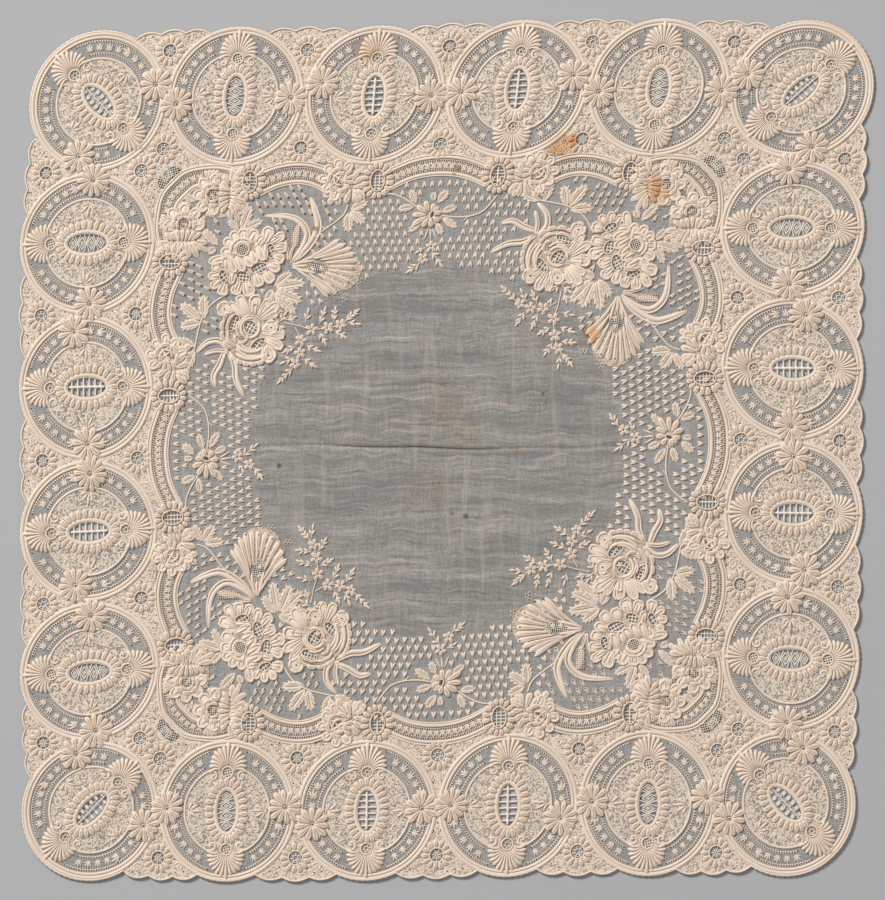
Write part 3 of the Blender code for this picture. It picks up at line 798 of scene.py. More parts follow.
@dataclass(frozen=True)
class SheerBatiste(Finish):
    """Fine handkerchief batiste, so sheer that it looks grey beside the cream stitching."""

    middle: str = "98938D"
    outer: str = "989795"
    veil: float = 0.95

    def material(self) -> bpy.types.Material:
        """A plain weave with slubs, lighter where threads bunch, a little see-through, and with painted shade along the
        old fold.
        """
        # Cotton batiste: about 40 threads a centimetre, drawn at 1.1 mm so that the weave shows.
        nodes = Nodes("sheer cotton batiste")
        where = nodes.place()
        far = nodes.add("ShaderNodeVectorMath", {0: where, 1: (-0.004, 0.0, 0.001)},
                        operation="DISTANCE")
        ring = nodes.ranged(far.outputs["Value"], 0.094, 0.100)
        base = nodes.mix(ring, linear(self.middle), linear(self.outer))
        sway = nodes.add("ShaderNodeTexNoise", {"Vector": nodes.place((75.0, 22.0, 1.0)), "Scale": 1.0,
                                                "Detail": 1.0})
        sway = nodes.add("ShaderNodeVectorMath", {0: sway.outputs["Color"], 1: (0.0, 0.006, 0.0)},
                         operation="MULTIPLY")
        bent = nodes.add("ShaderNodeVectorMath", {0: where, 1: sway.outputs["Vector"]},
                         operation="ADD").outputs["Vector"]

        def streaks(across: float, along: float, detail: float = 2.0) -> bpy.types.NodeSocket:
            """Noise drawn out along the threads of one direction."""
            scaled = nodes.add("ShaderNodeVectorMath", {0: bent, 1: (across, along, 1.0)},
                               operation="MULTIPLY")
            return nodes.noise(1.0, scaled.outputs["Vector"], detail, 0.65)

        inner = nodes.sum("SUBTRACT", 1.0, ring)
        warp, weft = streaks(900.0, 120.0), streaks(120.0, 900.0)
        slub, wide, upright = streaks(26.0, 520.0, 3.0), streaks(12.0, 110.0, 3.0), streaks(150.0, 14.0)
        grain = nodes.noise(1500.0, where, 2.0, 0.6)
        weave = nodes.sum("ADD", nodes.ranged(warp, 0.35, 0.65, 0.0, 0.5),
                          nodes.ranged(weft, 0.35, 0.65, 0.0, 0.5))
        base = nodes.mix(nodes.ranged(weave, 0.2, 0.8, 0.0, 0.62), base, linear("BBB6AF"))
        base = nodes.mix(nodes.ranged(grain, 0.56, 0.36, 0.0, 0.55), base, linear("6C6A68"))
        base = nodes.mix(nodes.sum("MULTIPLY", nodes.ranged(slub, 0.56, 0.72, 0.0, 0.55), inner), base,
                         linear("D2C9BF"))
        base = nodes.mix(nodes.sum("MULTIPLY", nodes.ranged(slub, 0.46, 0.34, 0.0, 0.5), inner), base,
                         linear("656361"))
        base = nodes.mix(nodes.sum("MULTIPLY", nodes.ranged(wide, 0.38, 0.56, 0.45, 0.0), inner), base,
                         linear("6C6A69"))
        base = nodes.mix(nodes.ranged(upright, 0.54, 0.7, 0.0, 0.26), base, linear("C6BEB2"))
        # Painted shade: the groove attribute darkens the sheet along the trough of the old fold.
        fold = nodes.add("ShaderNodeAttribute", attribute_name="groove").outputs["Fac"]
        base = nodes.mix(fold, base, linear("453D36"))
        nodes.feed(nodes.shader.inputs["Base Color"], nodes.stained(base))
        nodes.shader.inputs["Roughness"].default_value = 0.78
        nodes.shader.inputs["Sheen Weight"].default_value = 0.05
        nodes.shader.inputs["Alpha"].default_value = self.veil
        bump = nodes.add("ShaderNodeBump", {"Height": nodes.sum("ADD", weave, slub), "Strength": 0.35,
                                            "Distance": 0.00014})
        nodes.feed(nodes.shader.inputs["Normal"], bump.outputs["Normal"])
        return nodes.material


@dataclass(frozen=True)
class WormWork(Finish):
    """Ground filled with fine wandering stitches, so that little of the sheer cloth shows."""

    name: str = "worm-stitched ground"
    thread: str = "E6D7C1"
    gap: str = "A9A6A1"
    cover: float = 0.5
    wander: float = 360.0

    def material(self) -> bpy.types.Material:
        """Thread that wanders 1.3 mm apart over a darker gap colour: the grey of the cloth, or a brown that paints the
        shade between the threads.
        """
        # Cotton thread couched in wandering lines: a rough, matt, pebbly face.
        nodes = Nodes(self.name)
        where = nodes.place()
        bend = nodes.add("ShaderNodeTexNoise", {"Vector": where, "Scale": 260.0, "Detail": 1.0})
        pushed = nodes.add("ShaderNodeVectorMath", {0: bend.outputs["Color"], 1: (0.0016, 0.0016, 0.0)},
                           operation="MULTIPLY")
        moved = nodes.add("ShaderNodeVectorMath", {0: where, 1: pushed.outputs["Vector"]},
                          operation="ADD")
        field_ = nodes.noise(self.wander, moved.outputs["Vector"], 1.0, 0.4)
        ridge = nodes.sum("ABSOLUTE", nodes.sum("SUBTRACT", field_, 0.5))
        thread = nodes.ranged(ridge, 0.05 + 0.06 * self.cover, 0.02)
        knots = nodes.add("ShaderNodeTexVoronoi", {"Vector": moved.outputs["Vector"], "Scale": 950.0},
                          feature="F1")
        pebble = nodes.ranged(knots.outputs["Distance"], 0.5 + 0.2 * self.cover,
                              0.25 + 0.15 * self.cover)
        cover = nodes.sum("MAXIMUM", thread, pebble, clamp=True)
        patch = nodes.ranged(nodes.noise(70.0, detail=3.0), 0.35, 0.65, 0.0, 0.5)
        # The gap colour: the cloth between the threads, or painted shade between them where it is brown.
        base = nodes.mix(patch, linear(self.gap), linear("C4B7A5"))
        base = nodes.mix(cover, base, linear(self.thread))
        nodes.feed(nodes.shader.inputs["Base Color"], nodes.stained(base))
        nodes.shader.inputs["Roughness"].default_value = 0.85
        nodes.shader.inputs["Sheen Weight"].default_value = 0.1
        bump = nodes.add("ShaderNodeBump", {"Height": cover, "Strength": 0.8, "Distance": 0.0003})
        nodes.feed(nodes.shader.inputs["Normal"], bump.outputs["Normal"])
        return nodes.material


@dataclass(frozen=True)
class LaceThread(Finish):
    """Fine twisted cotton thread of the needle-lace fillings."""

    colour: str = "F2E6D6"

    def material(self) -> bpy.types.Material:
        """Matt cream thread with a faint twist."""
        # Twisted cotton thread, 0.3 to 0.5 mm thick: matt, with no sheen to speak of.
        nodes = Nodes("needle-lace cotton thread")
        twist = nodes.noise(1500.0, detail=1.0)
        base = nodes.mix(nodes.ranged(twist, 0.35, 0.65, 0.0, 0.4), linear(self.colour),
                         linear("CDBEA8"))
        nodes.feed(nodes.shader.inputs["Base Color"], nodes.stained(base))
        nodes.shader.inputs["Roughness"].default_value = 0.8
        bump = nodes.add("ShaderNodeBump", {"Height": twist, "Strength": 0.3, "Distance": 0.0001})
        nodes.feed(nodes.shader.inputs["Normal"], bump.outputs["Normal"])
        return nodes.material


@dataclass(frozen=True)
class Pinhole(Finish):
    """The shaded inside of a hole pricked by a stiletto."""

    colour: str = "2B2A2A"

    def material(self) -> bpy.types.Material:
        """Dark, as painted shade, its tone varying a little at random."""
        # A pricked hole under 1 mm wide: the eye sees only its shade.
        nodes = Nodes("shade of pricked holes")
        tone = nodes.ranged(nodes.noise(300.0), 0.3, 0.7, 0.0, 0.6)
        nodes.feed(nodes.shader.inputs["Base Color"], nodes.mix(tone, linear(self.colour),
                                                                linear("45423F")))
        nodes.shader.inputs["Roughness"].default_value = 0.95
        nodes.shader.inputs["Specular IOR Level"].default_value = 0.05
        return nodes.material


@dataclass
class Workbox:
    """The pieces being worked, the openings cut for them, and the painted shade of the pinholes pricked round them and
    under the shaded nets.
    """

    floss: dict[str, Sampler] = field(default_factory=dict)
    lace: Sampler = field(default_factory=lambda: Sampler("needle_lace", whole=True))
    painted_shade: Sampler = field(default_factory=lambda: Sampler("painted_hole_shade"))
    openings: list[Points] = field(default_factory=list)

    def sampler(self, name: str) -> Sampler:
        """The piece of a name, started when it is first asked for."""
        return self.floss.setdefault(name, Sampler(name))

    def cut(self, pen: Pen, rim: Points) -> None:
        """Cut an opening."""
        self.openings.append(pen.place(rim))

    def prick(self, pen: Pen, points: Points, radius: float = 0.45, level: float = 0.27) -> None:
        """Add flat dark discs of painted shade where small holes are pricked; no hole is cut."""
        self.painted_shade.knot(pen, points, radius, 0.05, level)

    def bar(self, pen: Pen, start: Points, end: Points, width: float = 0.5,
            level: float = -0.25) -> None:
        """Lay a needle-lace bar across an opening."""
        line = np.array([start, end], dtype=float)
        self.lace.cord(pen, line, width, 0.5 * width, level=level)

    def ring(self, pen: Pen, points: Points, width: float = 0.45, level: float = -0.22) -> None:
        """Lay a closed ring of thread in an opening."""
        self.lace.cord(pen, points, width, 0.5 * width, closed=True, level=level)


@dataclass
class Hand:
    """The embroiderer's hand: works stitches of one piece at one place of the drawing."""

    box: Workbox
    piece: Sampler
    pen: Pen

    def at(self, u: float, v: float, turn: float = 0.0) -> "Hand":
        """The same hand at another place of the drawing."""
        return Hand(self.box, self.piece, self.pen.at(u, v, turn))

    def lobe(self, start: tuple, middle: tuple, end: tuple, widths: tuple, height: float = 0.9,
             groove: float = 0.0, level: float = 0.0, fine: bool = False) -> None:
        """One padded satin stitch along a bent line."""
        self.piece.lobe(self.pen, start, middle, end, widths, height, groove, level, fine)

    def fan(self, centre: tuple, first: float, last: float, count: int, reach: tuple,
            widths: tuple, height: float = 1.0, groove: float = 0.3, bulge: float = 0.0,
            level: float = 0.0, sway: float = 0.0, spread: float = 0.0) -> None:
        """A fan of ridges round a centre, or along a short line through it.

        Args:
            centre: where the ridges meet.
            first: the first ridge's angle.
            last: the last ridge's angle.
            count: how many ridges.
            reach: where each starts and ends, from the centre.
            widths: full widths at the start, middle and end.
            height: how far they stand up.
            groove: the slit along each.
            bulge: how much longer the middle ones are.
            level: their foot above the cloth.
            sway: how far they bend to the left.
            spread: the length of the line that they start from.
        """
        across = polar(spread, 0.5 * (first + last) + math.copysign(90.0, last - first))
        for i in range(count):
            share = i / max(count - 1, 1)
            aim = first + (last - first) * share
            longer = bulge * math.sin(math.pi * share) + 0.35 * math.sin(4.7 * i + centre[0])
            self.piece.ray(self.pen, np.asarray(centre) + across * (share - 0.5), aim,
                           (reach[0], reach[1] + longer), widths, height, groove, sway, level)

    def crescent(self, centre: tuple, radius: float, start: float, end: float, width: float,
                 height: float = 0.9, level: float = 0.0) -> None:
        """A ridge that swells along an arc and tapers at its ends."""
        steps = max(8, round(abs(end - start) * radius / 55.0))
        line = arc(radius, start, end, steps, centre[0], centre[1])
        self.piece.cord(self.pen, line, width, height, level=level, taper=True)

    def cord(self, points: list, width: float, height: float = 0.6, steps: int = 5,
             level: float = 0.0, taper: bool = False) -> None:
        """A cord along a smooth line."""
        self.piece.cord(self.pen, smooth(np.array(points), steps), width, height, level=level,
                        taper=taper)

    def blade(self, points: list, width: float, height: float = 0.85) -> None:
        """A long leaf of two ridges with a slit between them."""
        line = smooth(np.array(points), 7)
        way = np.gradient(line, axis=0)
        way /= np.linalg.norm(way, axis=1, keepdims=True)
        across = np.stack([-way[:, 1], way[:, 0]], axis=1)
        t = np.linspace(0.0, 1.0, len(line))
        swell = np.sqrt(np.clip(np.sin(math.pi * t ** 0.8), 0.0, 1.0))[:, None]
        for off, share in ((0.17, 0.66), (-0.33, 0.34)):
            self.piece.cord(self.pen, line + off * width * swell * across, share * width, height,
                            taper=True)

    def leaf(self, base: tuple, tip: tuple, width: float, teeth: int = 4, bend: float = 0.0) -> None:
        """A toothed leaf with a vein.

        Args:
            base: where its stem meets it.
            tip: its point.
            width: its full width.
            teeth: how many teeth each side has.
            bend: how far its middle lies to the left of its line.
        """
        base, tip = np.asarray(base, dtype=float), np.asarray(tip, dtype=float)
        way = tip - base
        aim = math.degrees(math.atan2(way[1], way[0]))
        for side in (1.0, -1.0):
            middle = 0.5 * (base + tip) + polar(bend + 0.46 * side * width, aim + 90.0)
            self.lobe(base, middle, tip, (0.4, 0.5 * width, 0.35), 0.6, 0.1)
            for i in range(teeth):
                share = (i + 0.9) / (teeth + 0.9)
                bow = 2.0 * share * (1.0 - share)
                spot = base + way * share + polar(bow * (bend + 0.62 * side * width), aim + 90.0)
                self.piece.ray(self.pen, spot, aim + 34.0 * side, (-0.2 * width, 0.3 * width),
                               (0.4, 0.24 * width, 0.25), 0.6, fine=True)

    def petals(self, centre: tuple, radius: float, first: float, last: float, count: int, width: float,
               height: float = 1.1, groove: float = 0.25, level: float = 0.1) -> None:
        """Broad petals that lie round a centre and overlap a little.

        Args:
            centre: the middle of the flower.
            radius: how far out they lie.
            first: the first petal's first angle.
            last: the last petal's last angle.
            count: how many petals.
            width: each one's full width.
            height: how far they stand up.
            groove: the slit along each.
            level: their foot above the cloth.
        """
        span = (last - first) / count
        middle = np.asarray(centre, dtype=float)
        for i in range(count):
            a, b = first + span * (i - 0.08), first + span * (i + 1.08)
            bow = radius * (1.0 + 0.75 * (1.0 - math.cos(math.radians(0.5 * abs(b - a))))) * 1.08
            self.lobe(tuple(middle + polar(radius * 0.93, a)),
                      tuple(middle + polar(bow, 0.5 * (a + b))),
                      tuple(middle + polar(radius * 0.93, b)), (0.45 * width, width, 0.45 * width),
                      height,
                      groove, level + 0.06 * (i % 2))

    def petal(self, base: tuple, tip: tuple, width: float, ribs: int = 2, height: float = 1.0,
              level: float = 0.05, point: float = 0.96) -> None:
        """A broad petal: a raised rim round a lower middle, with fine ribs along it.

        Args:
            base: where it leaves the flower.
            tip: the middle of its rounded end.
            width: its full width near the tip.
            ribs: how many ribs.
            height: how far it stands up.
            level: its foot above the cloth.
            point: how wide its end is, as a share of its width.
        """
        base, tip = np.asarray(base, dtype=float), np.asarray(tip, dtype=float)
        way = (tip - base) / np.hypot(*(tip - base))
        across = 0.5 * width * np.array([-way[1], way[0]])
        length = np.hypot(*(tip - base))
        self.lobe(base, 0.5 * (base + tip), tip, (0.6 * width, 1.04 * width, point * width),
                  0.62 * height,
                  0.0, level, True)
        rim = [
            (0.1, 0.5), (0.5, 0.84), (0.8, 0.5 + 0.4 * point), (0.98, 0.52 * point),
            (0.97 if ribs > 1 else 1.03, 0.0), (0.98, -0.52 * point), (0.8, -0.5 - 0.4 * point),
            (0.5, -0.84), (0.1, -0.5)]
        line = np.array([base + way * length * along + across * aside * 0.84 for along, aside in rim])
        self.piece.cord(self.pen, line, min(0.3 * width, 1.7), 1.12 * height, level=level, taper=True)
        for i in range(ribs):
            off = (i - 0.5 * (ribs - 1)) * 0.62
            end = base + way * length * (0.8 - 0.1 * abs(off)) + across * off
            self.lobe(base + across * off * 0.5, 0.5 * (base + end) + across * off * 0.4, end,
                      (0.5, 0.24 * width, 0.4), height, 0.0, level, True)

    def petal_row(self, centre: tuple, first: float, last: float, count: int, reach: tuple,
                  width: float,
                  level: float = 0.05, point: float = 0.6) -> None:
        """A row of petals that point away from a centre.

        Args:
            centre: the middle of the flower.
            first: the first petal's angle.
            last: the last petal's angle.
            count: how many petals.
            reach: where each starts and ends, from the centre.
            width: each one's full width.
            level: their foot above the cloth.
            point: how wide each one's end is, as a share of its width.
        """
        middle = np.asarray(centre, dtype=float)
        for i in range(count):
            aim = first + (last - first) * i / max(count - 1, 1)
            self.petal(middle + polar(reach[0], aim), middle + polar(reach[1] + 0.5 * math.sin(2.9 * i),
                                                                     aim), width, 1,
                       1.05, level + 0.06 * (i % 2), point)

    def forget_me_not(self, centre: tuple, radius: float = 2.6, phase: float = 0.0) -> None:
        """A small flower of five petals."""
        self.fan(centre, phase, phase + 288.0, 5, (0.3, radius + 0.25), (0.9, 2.2, 2.6), 0.8, 0.15)
        self.box.prick(self.pen, np.array([centre]), 0.3, 0.45)

    def sprig(self, base: tuple, tip: tuple, pairs: int = 3, size: float = 2.4) -> None:
        """A fine stem with pairs of narrow leaves."""
        base, tip = np.asarray(base, dtype=float), np.asarray(tip, dtype=float)
        way = tip - base
        aim = math.degrees(math.atan2(way[1], way[0]))
        self.piece.cord(self.pen, np.linspace(base, tip, 5), 0.55, 0.4)
        for i in range(pairs):
            spot = base + way * (i + 0.3) / pairs
            for side in (1.0, -1.0):
                self.piece.ray(self.pen, spot, aim + (34.0 + 9.0 * math.sin(2.3 * i + side + base[0])) * side,
                               (0.1, (1.3 - 0.12 * i) * size), (0.4, 1.7, 0.4), 0.75, fine=True,
                               sway=-0.45 * side)
        self.piece.ray(self.pen, tip, aim, (-0.8, 1.15 * size), (0.5, 1.7, 0.4), 0.75, fine=True)

    def net(self, centre: tuple, rx: float, ry: float, turn: float = 0.0, pitch: float = 1.9,
            width: float = 0.55, shaded: bool = False) -> None:
        """A darned net over an oval place.

        Args:
            centre: the middle of the oval.
            rx: its half width.
            ry: its half length.
            turn: its turn in degrees.
            pitch: the distance from thread to thread.
            width: each thread's width.
            shaded: whether a dark patch of painted shade lies under it instead of an opening cut through.
        """
        own = self.pen.at(*centre, turn)
        # Painted shade: a dark patch stands for the shade under the net, and no opening is cut.
        if shaded:
            self.box.painted_shade.lobe(own, (0.0, -ry), (0.0, 0.0), (0.0, ry), (2.0 * rx, 2.0 * rx, 2.0 * rx),
                               0.02,
                               level=0.42)
        level = 0.46 if shaded else -0.25
        for long, wide, flip in ((ry, rx, False), (rx, ry, True)):
            count = max(1, round(2.0 * wide / pitch) - 1)
            for i in range(count):
                at = (i - 0.5 * (count - 1)) * pitch
                half = long * math.sqrt(max(0.0, 1.0 - (at / wide) ** 2))
                ends = ((at, -half), (at, half))
                if flip:
                    ends = tuple((y, x) for x, y in ends)
                self.box.bar(own, *ends, width, level)


@dataclass
class Eyelet:
    """A round eyelet with a needle-lace wheel, corded round its rim."""

    radius: float
    wheel: Wheel
    spokes: int = 8

    def work(self, box: Workbox, piece: Sampler, pen: Pen, phase: float = 0.0) -> None:
        """Cut the eyelet, cord its rim and fill it.

        Args:
            box: takes the opening and the lace.
            piece: takes the rim.
            pen: places it.
            phase: the turn of its spokes in degrees.
        """
        r = self.radius
        box.cut(pen, oval(r, r, 20))
        piece.cord(pen, oval(r + 0.45, r + 0.45, 26), 1.1, 0.75, closed=True)
        if self.wheel is Wheel.LATTICE:
            for i in (-1, 0, 1):
                at = 0.52 * r * i
                half = math.sqrt(r * r - at * at)
                box.bar(pen, turned((at, -half), phase), turned((at, half), phase), 0.5)
                box.bar(pen, turned((-half, at), phase), turned((half, at), phase), 0.5)
            return
        step = 360.0 / self.spokes
        inner = 0.2 * r if self.wheel is Wheel.STAR else 0.42 * r
        for i in range(self.spokes):
            box.bar(pen, polar(inner, phase + step * i), polar(r, phase + step * i), 0.48)
        if self.wheel is Wheel.STAR:
            box.ring(pen, turned(oval(0.2 * r, 0.2 * r, 8), phase), 0.42)
            star = np.array([polar(r * (0.66 if i % 2 else 0.4), phase + 0.5 * step * i)
                             for i in range(2 * self.spokes)])
            box.ring(pen, star, 0.42)
        else:
            box.ring(pen, turned(oval(inner, inner, 12), phase), 0.5)
            box.ring(pen, turned(oval(0.76 * r, 0.76 * r, 2 * self.spokes), phase), 0.36)


@dataclass
class Medallion:
    """One round medallion of the border, with its long axis pointing to the edge."""

    filling: Filling
    seed: int
    cord_r: float = 35.1
    inner_cord_r: float = 22.4
    band_r: float = 26.3
    sprigs: int = 34
    oval_rx: float = 4.7
    oval_ry: float = 10.3
    wheel_y: float = 19.6
    wheel_r: float = 2.45
    daisies: tuple = ()

    def work(self, box: Workbox, piece: Sampler, pen: Pen) -> None:
        """Work the whole medallion."""
        self.cords(box, piece, pen)
        self.band(piece, pen)
        self.opening(box, piece, pen)
        for way in (1.0, -1.0):
            self.fan(box, piece, pen, way)
        self.field(piece, pen)

    def cords(self, box: Workbox, piece: Sampler, pen: Pen) -> None:
        """The double outer cord, the inner cord with its curls, and their pricked rows."""
        for radius, width, height in ((self.cord_r + 0.1, 2.5, 0.8), (self.cord_r - 1.75, 1.9, 0.66)):
            piece.cord(pen, oval(radius, radius, 100), width, height, closed=True)
        for side in (1.0, -1.0):
            run = arc(self.inner_cord_r, 67.0, -67.0, 38)
            curl = spiral(2.7, 0.7, 60.0, 330.0, 16, 7.6, 17.6)
            low = curl[::-1] * np.array([1.0, -1.0])
            line = np.vstack([curl[::-1], run[1:-1], low[::-1]])
            piece.cord(pen, line * np.array([side, 1.0]), 1.45, 0.72)
            for way in (1.0, -1.0):
                piece.knot(pen, np.array([7.6 * side, 17.6 * way]), 0.9, 0.75)
        for radius, count, clear in ((31.4, 150, 19.0), (24.9, 118, 30.0)):
            for middle in (0.0, 180.0):
                reach = 90.0 - clear
                piece.cord(pen, arc(radius, middle - reach, middle + reach, 36), 1.5, 0.14)
                at = np.linspace(middle - reach, middle + reach, round(count * reach / 180.0))
                box.prick(pen, np.array([polar(radius, d) for d in at]), 0.4, 0.27)

    def band(self, piece: Sampler, pen: Pen) -> None:
        """The leaf sprigs of the sheer band, pointing outwards."""
        for i in range(self.sprigs):
            a = 360.0 * (i + 0.5) / self.sprigs
            off_axis = min(abs((a - 90.0 + 180.0) % 360.0 - 180.0),
                           abs((a - 270.0 + 180.0) % 360.0 - 180.0))
            if off_axis < 23.0:
                continue
            foot = polar(self.band_r, a)
            for tilt, length, width in (
                    (0.0, 4.4, 1.5), (27.0, 3.9, 1.35), (-27.0, 3.9, 1.35), (58.0, 2.4, 1.0),
                    (-58.0, 2.4, 1.0)):
                aim = a + tilt
                piece.ray(pen, foot, aim, (0.1, length), (0.35, width, 0.3), 0.55, fine=True,
                          sway=-0.012 * tilt)

    def fan(self, box: Workbox, piece: Sampler, pen: Pen, way: float) -> None:
        """One wheel with its fan of long ridges."""
        turn = 0.0 if way > 0 else 180.0
        own = pen.at(0.0, 0.0, turn)
        centre = np.array([0.0, self.wheel_y])
        wheel = Wheel.LATTICE if self.filling is Filling.DIAMONDS else Wheel.WEB
        Eyelet(self.wheel_r, wheel, 6).work(box, piece, own.at(0.0, self.wheel_y), 15.0)
        for tilt in (
                0.0, 12.0, -12.0, 24.0, -24.0, 36.0, -36.0, 48.5, -48.5, 61.0, -61.0, 75.0, -75.0, 91.0,
                -91.0):
            reach = 15.6 if tilt == 0.0 else 10.2 + 4.2 * math.cos(math.radians(tilt)) ** 2 + 0.4 * math.sin(9.0 * tilt)
            tip = centre + polar(reach, 90.0 - tilt)
            start = centre + polar(3.3, 90.0 - 0.9 * tilt)
            bend = centre + polar(0.66 * reach, 90.0 - 0.6 * tilt)
            piece.lobe(own, start, bend, tip, (0.7, 1.5, 2.5), 1.1, 0.0,
                       level=0.12 if tilt == 0.0 else 0.0)

    def opening(self, box: Workbox, piece: Sampler, pen: Pen) -> None:
        """The oval opening, its rim, its ring of short petals and its filling."""
        rx, ry = self.oval_rx, self.oval_ry
        box.cut(pen, oval(rx, ry, 40))
        piece.cord(pen, oval(rx + 1.35, ry + 1.35, 54), 2.6, 0.62, closed=True)
        count = 26
        for i in range(count):
            a = math.tau * (i + 0.5) / count
            base = np.array([(rx + 2.5) * math.cos(a), (ry + 2.4) * math.sin(a)])
            out = np.array([math.cos(a) / (rx + 3.0), math.sin(a) / (ry + 3.0)])
            out /= np.hypot(*out)
            aim = math.degrees(math.atan2(out[1], out[0]))
            piece.ray(pen, base, aim, (-0.5, 4.4), (1.9, 3.0, 3.3), 1.05, 0.34, sway=0.6)
        fill = {Filling.CHECKER: self.checker, Filling.DIAMONDS: self.diamonds, Filling.BARS: self.bars}
        fill[self.filling](box, pen)

    def half_width(self, y: float) -> float:
        """Half the opening's width at a height."""
        return self.oval_rx * math.sqrt(max(0.0, 1.0 - (y / self.oval_ry) ** 2))

    def checker(self, box: Workbox, pen: Pen) -> None:
        """A ladder of woven blocks, set like a chequer on either side of a bar."""
        box.bar(pen, (0.0, -self.oval_ry), (0.0, self.oval_ry), 0.75)
        pitch = 3.3
        for column in (-1, 1):
            for i in range(-3, 4):
                y = pitch * (i + 0.25 * column)
                half = self.half_width(y)
                if half < 1.2:
                    continue
                reach = min(half, 4.3)
                box.bar(pen, (0.0, y), (column * half, y), 0.4)
                for edge in (-0.45, 0.45):
                    box.bar(pen, (column * 0.42 * reach, y + edge), (column * 0.92 * reach, y + edge),
                            0.95)

    def diamonds(self, box: Workbox, pen: Pen) -> None:
        """A chain of four diamonds, each with a small one in it, and crossed threads between."""
        centres = (-7.5, -2.5, 2.5, 7.5)
        for y in centres:
            wide = min(3.1, self.half_width(y) - 0.5)
            outer = np.array([(0.0, y - 1.9), (wide, y), (0.0, y + 1.9), (-wide, y)])
            for a, b in zip(outer, np.roll(outer, -1, axis=0)):
                box.bar(pen, a, b, 0.62)
            box.lace.knot(pen, oval(0.75, 0.55, 4, 0.0, y), 0.5, 0.3, -0.25)
        for y in (-5.0, 0.0, 5.0):
            half = self.half_width(y)
            for side in (1.0, -1.0):
                box.bar(pen, (side * half, y - 1.5), (-side * half, y + 1.5), 0.62)

    def bars(self, box: Workbox, pen: Pen) -> None:
        """Thick bars from both sides to a chain of small solid diamonds."""
        pitch = 3.15
        for i in range(6):
            y = pitch * (i - 2.5)
            half = self.half_width(y)
            box.bar(pen, (-half, y), (half, y), 1.0)
            box.bar(pen, (0.0, y - 1.5), (0.0, y + 1.5), 1.5, -0.2)
            box.lace.knot(pen, np.array([[0.0, y]]), 1.1, 0.35, -0.2)
        box.bar(pen, (0.0, -self.oval_ry), (0.0, self.oval_ry), 0.6)

    def field(self, piece: Sampler, pen: Pen) -> None:
        """Leaf sprays that reach from the daisies into the field, and small curled cords."""
        rng = np.random.default_rng(self.seed)
        for side in (1.0, -1.0):
            lean = float(rng.uniform(-10.0, 10.0))
            base = np.array([side * 20.5, 0.8 * lean * 0.1])
            inward = 180.0 if side > 0 else 0.0
            for tilt, length, width in (
                    (0.0, 8.0, 1.9), (32.0, 6.4, 1.8), (-32.0, 6.4, 1.8), (66.0, 4.6, 1.5),
                    (-66.0, 4.6, 1.5)):
                piece.ray(pen, base, inward + lean + tilt, (0.8, length), (0.6, width, 0.4), 0.7,
                          fine=True)
            for up in (1.0, -1.0):
                foot = np.array([side * 28.0, up * 6.5])
                for tilt, length in ((0.0, 5.2), (30.0, 4.2), (-30.0, 4.2)):
                    piece.ray(pen, foot, up * 90.0 + side * up * 8.0 + tilt, (0.0, length),
                              (0.5, 1.6, 0.4), 0.65, fine=True)
            for up in (1.0, -1.0):
                spin = side * up
                curl = spiral(3.1, 0.8, 90.0, 400.0 * spin, 26, side * 15.6, up * 9.6)
                piece.cord(pen, curl, 0.7, 0.45)
                curl = spiral(2.0, 0.6, 20.0, -360.0 * spin, 20, side * 13.4, up * 14.6)
                piece.cord(pen, curl, 0.65, 0.4)


@dataclass(frozen=True)
class DaisySpot:
    """Where one daisy stands, from the middle of its join."""

    join: int
    along: float
    across: float
    petals: int


DAISIES = (
    DaisySpot(0, -6.5, 8.3, 11), DaisySpot(0, 5.3, -2.0, 13),
    DaisySpot(1, -7.0, 0.8, 12), DaisySpot(1, 9.0, 9.0, 13),
    DaisySpot(2, -7.0, 0.4, 14), DaisySpot(2, 8.0, 1.4, 10),
    DaisySpot(3, -8.3, 8.3, 11), DaisySpot(3, 5.7, -0.5, 12),
    DaisySpot(4, -4.1, 0.0, 13), DaisySpot(4, 8.3, 8.8, 12),
)


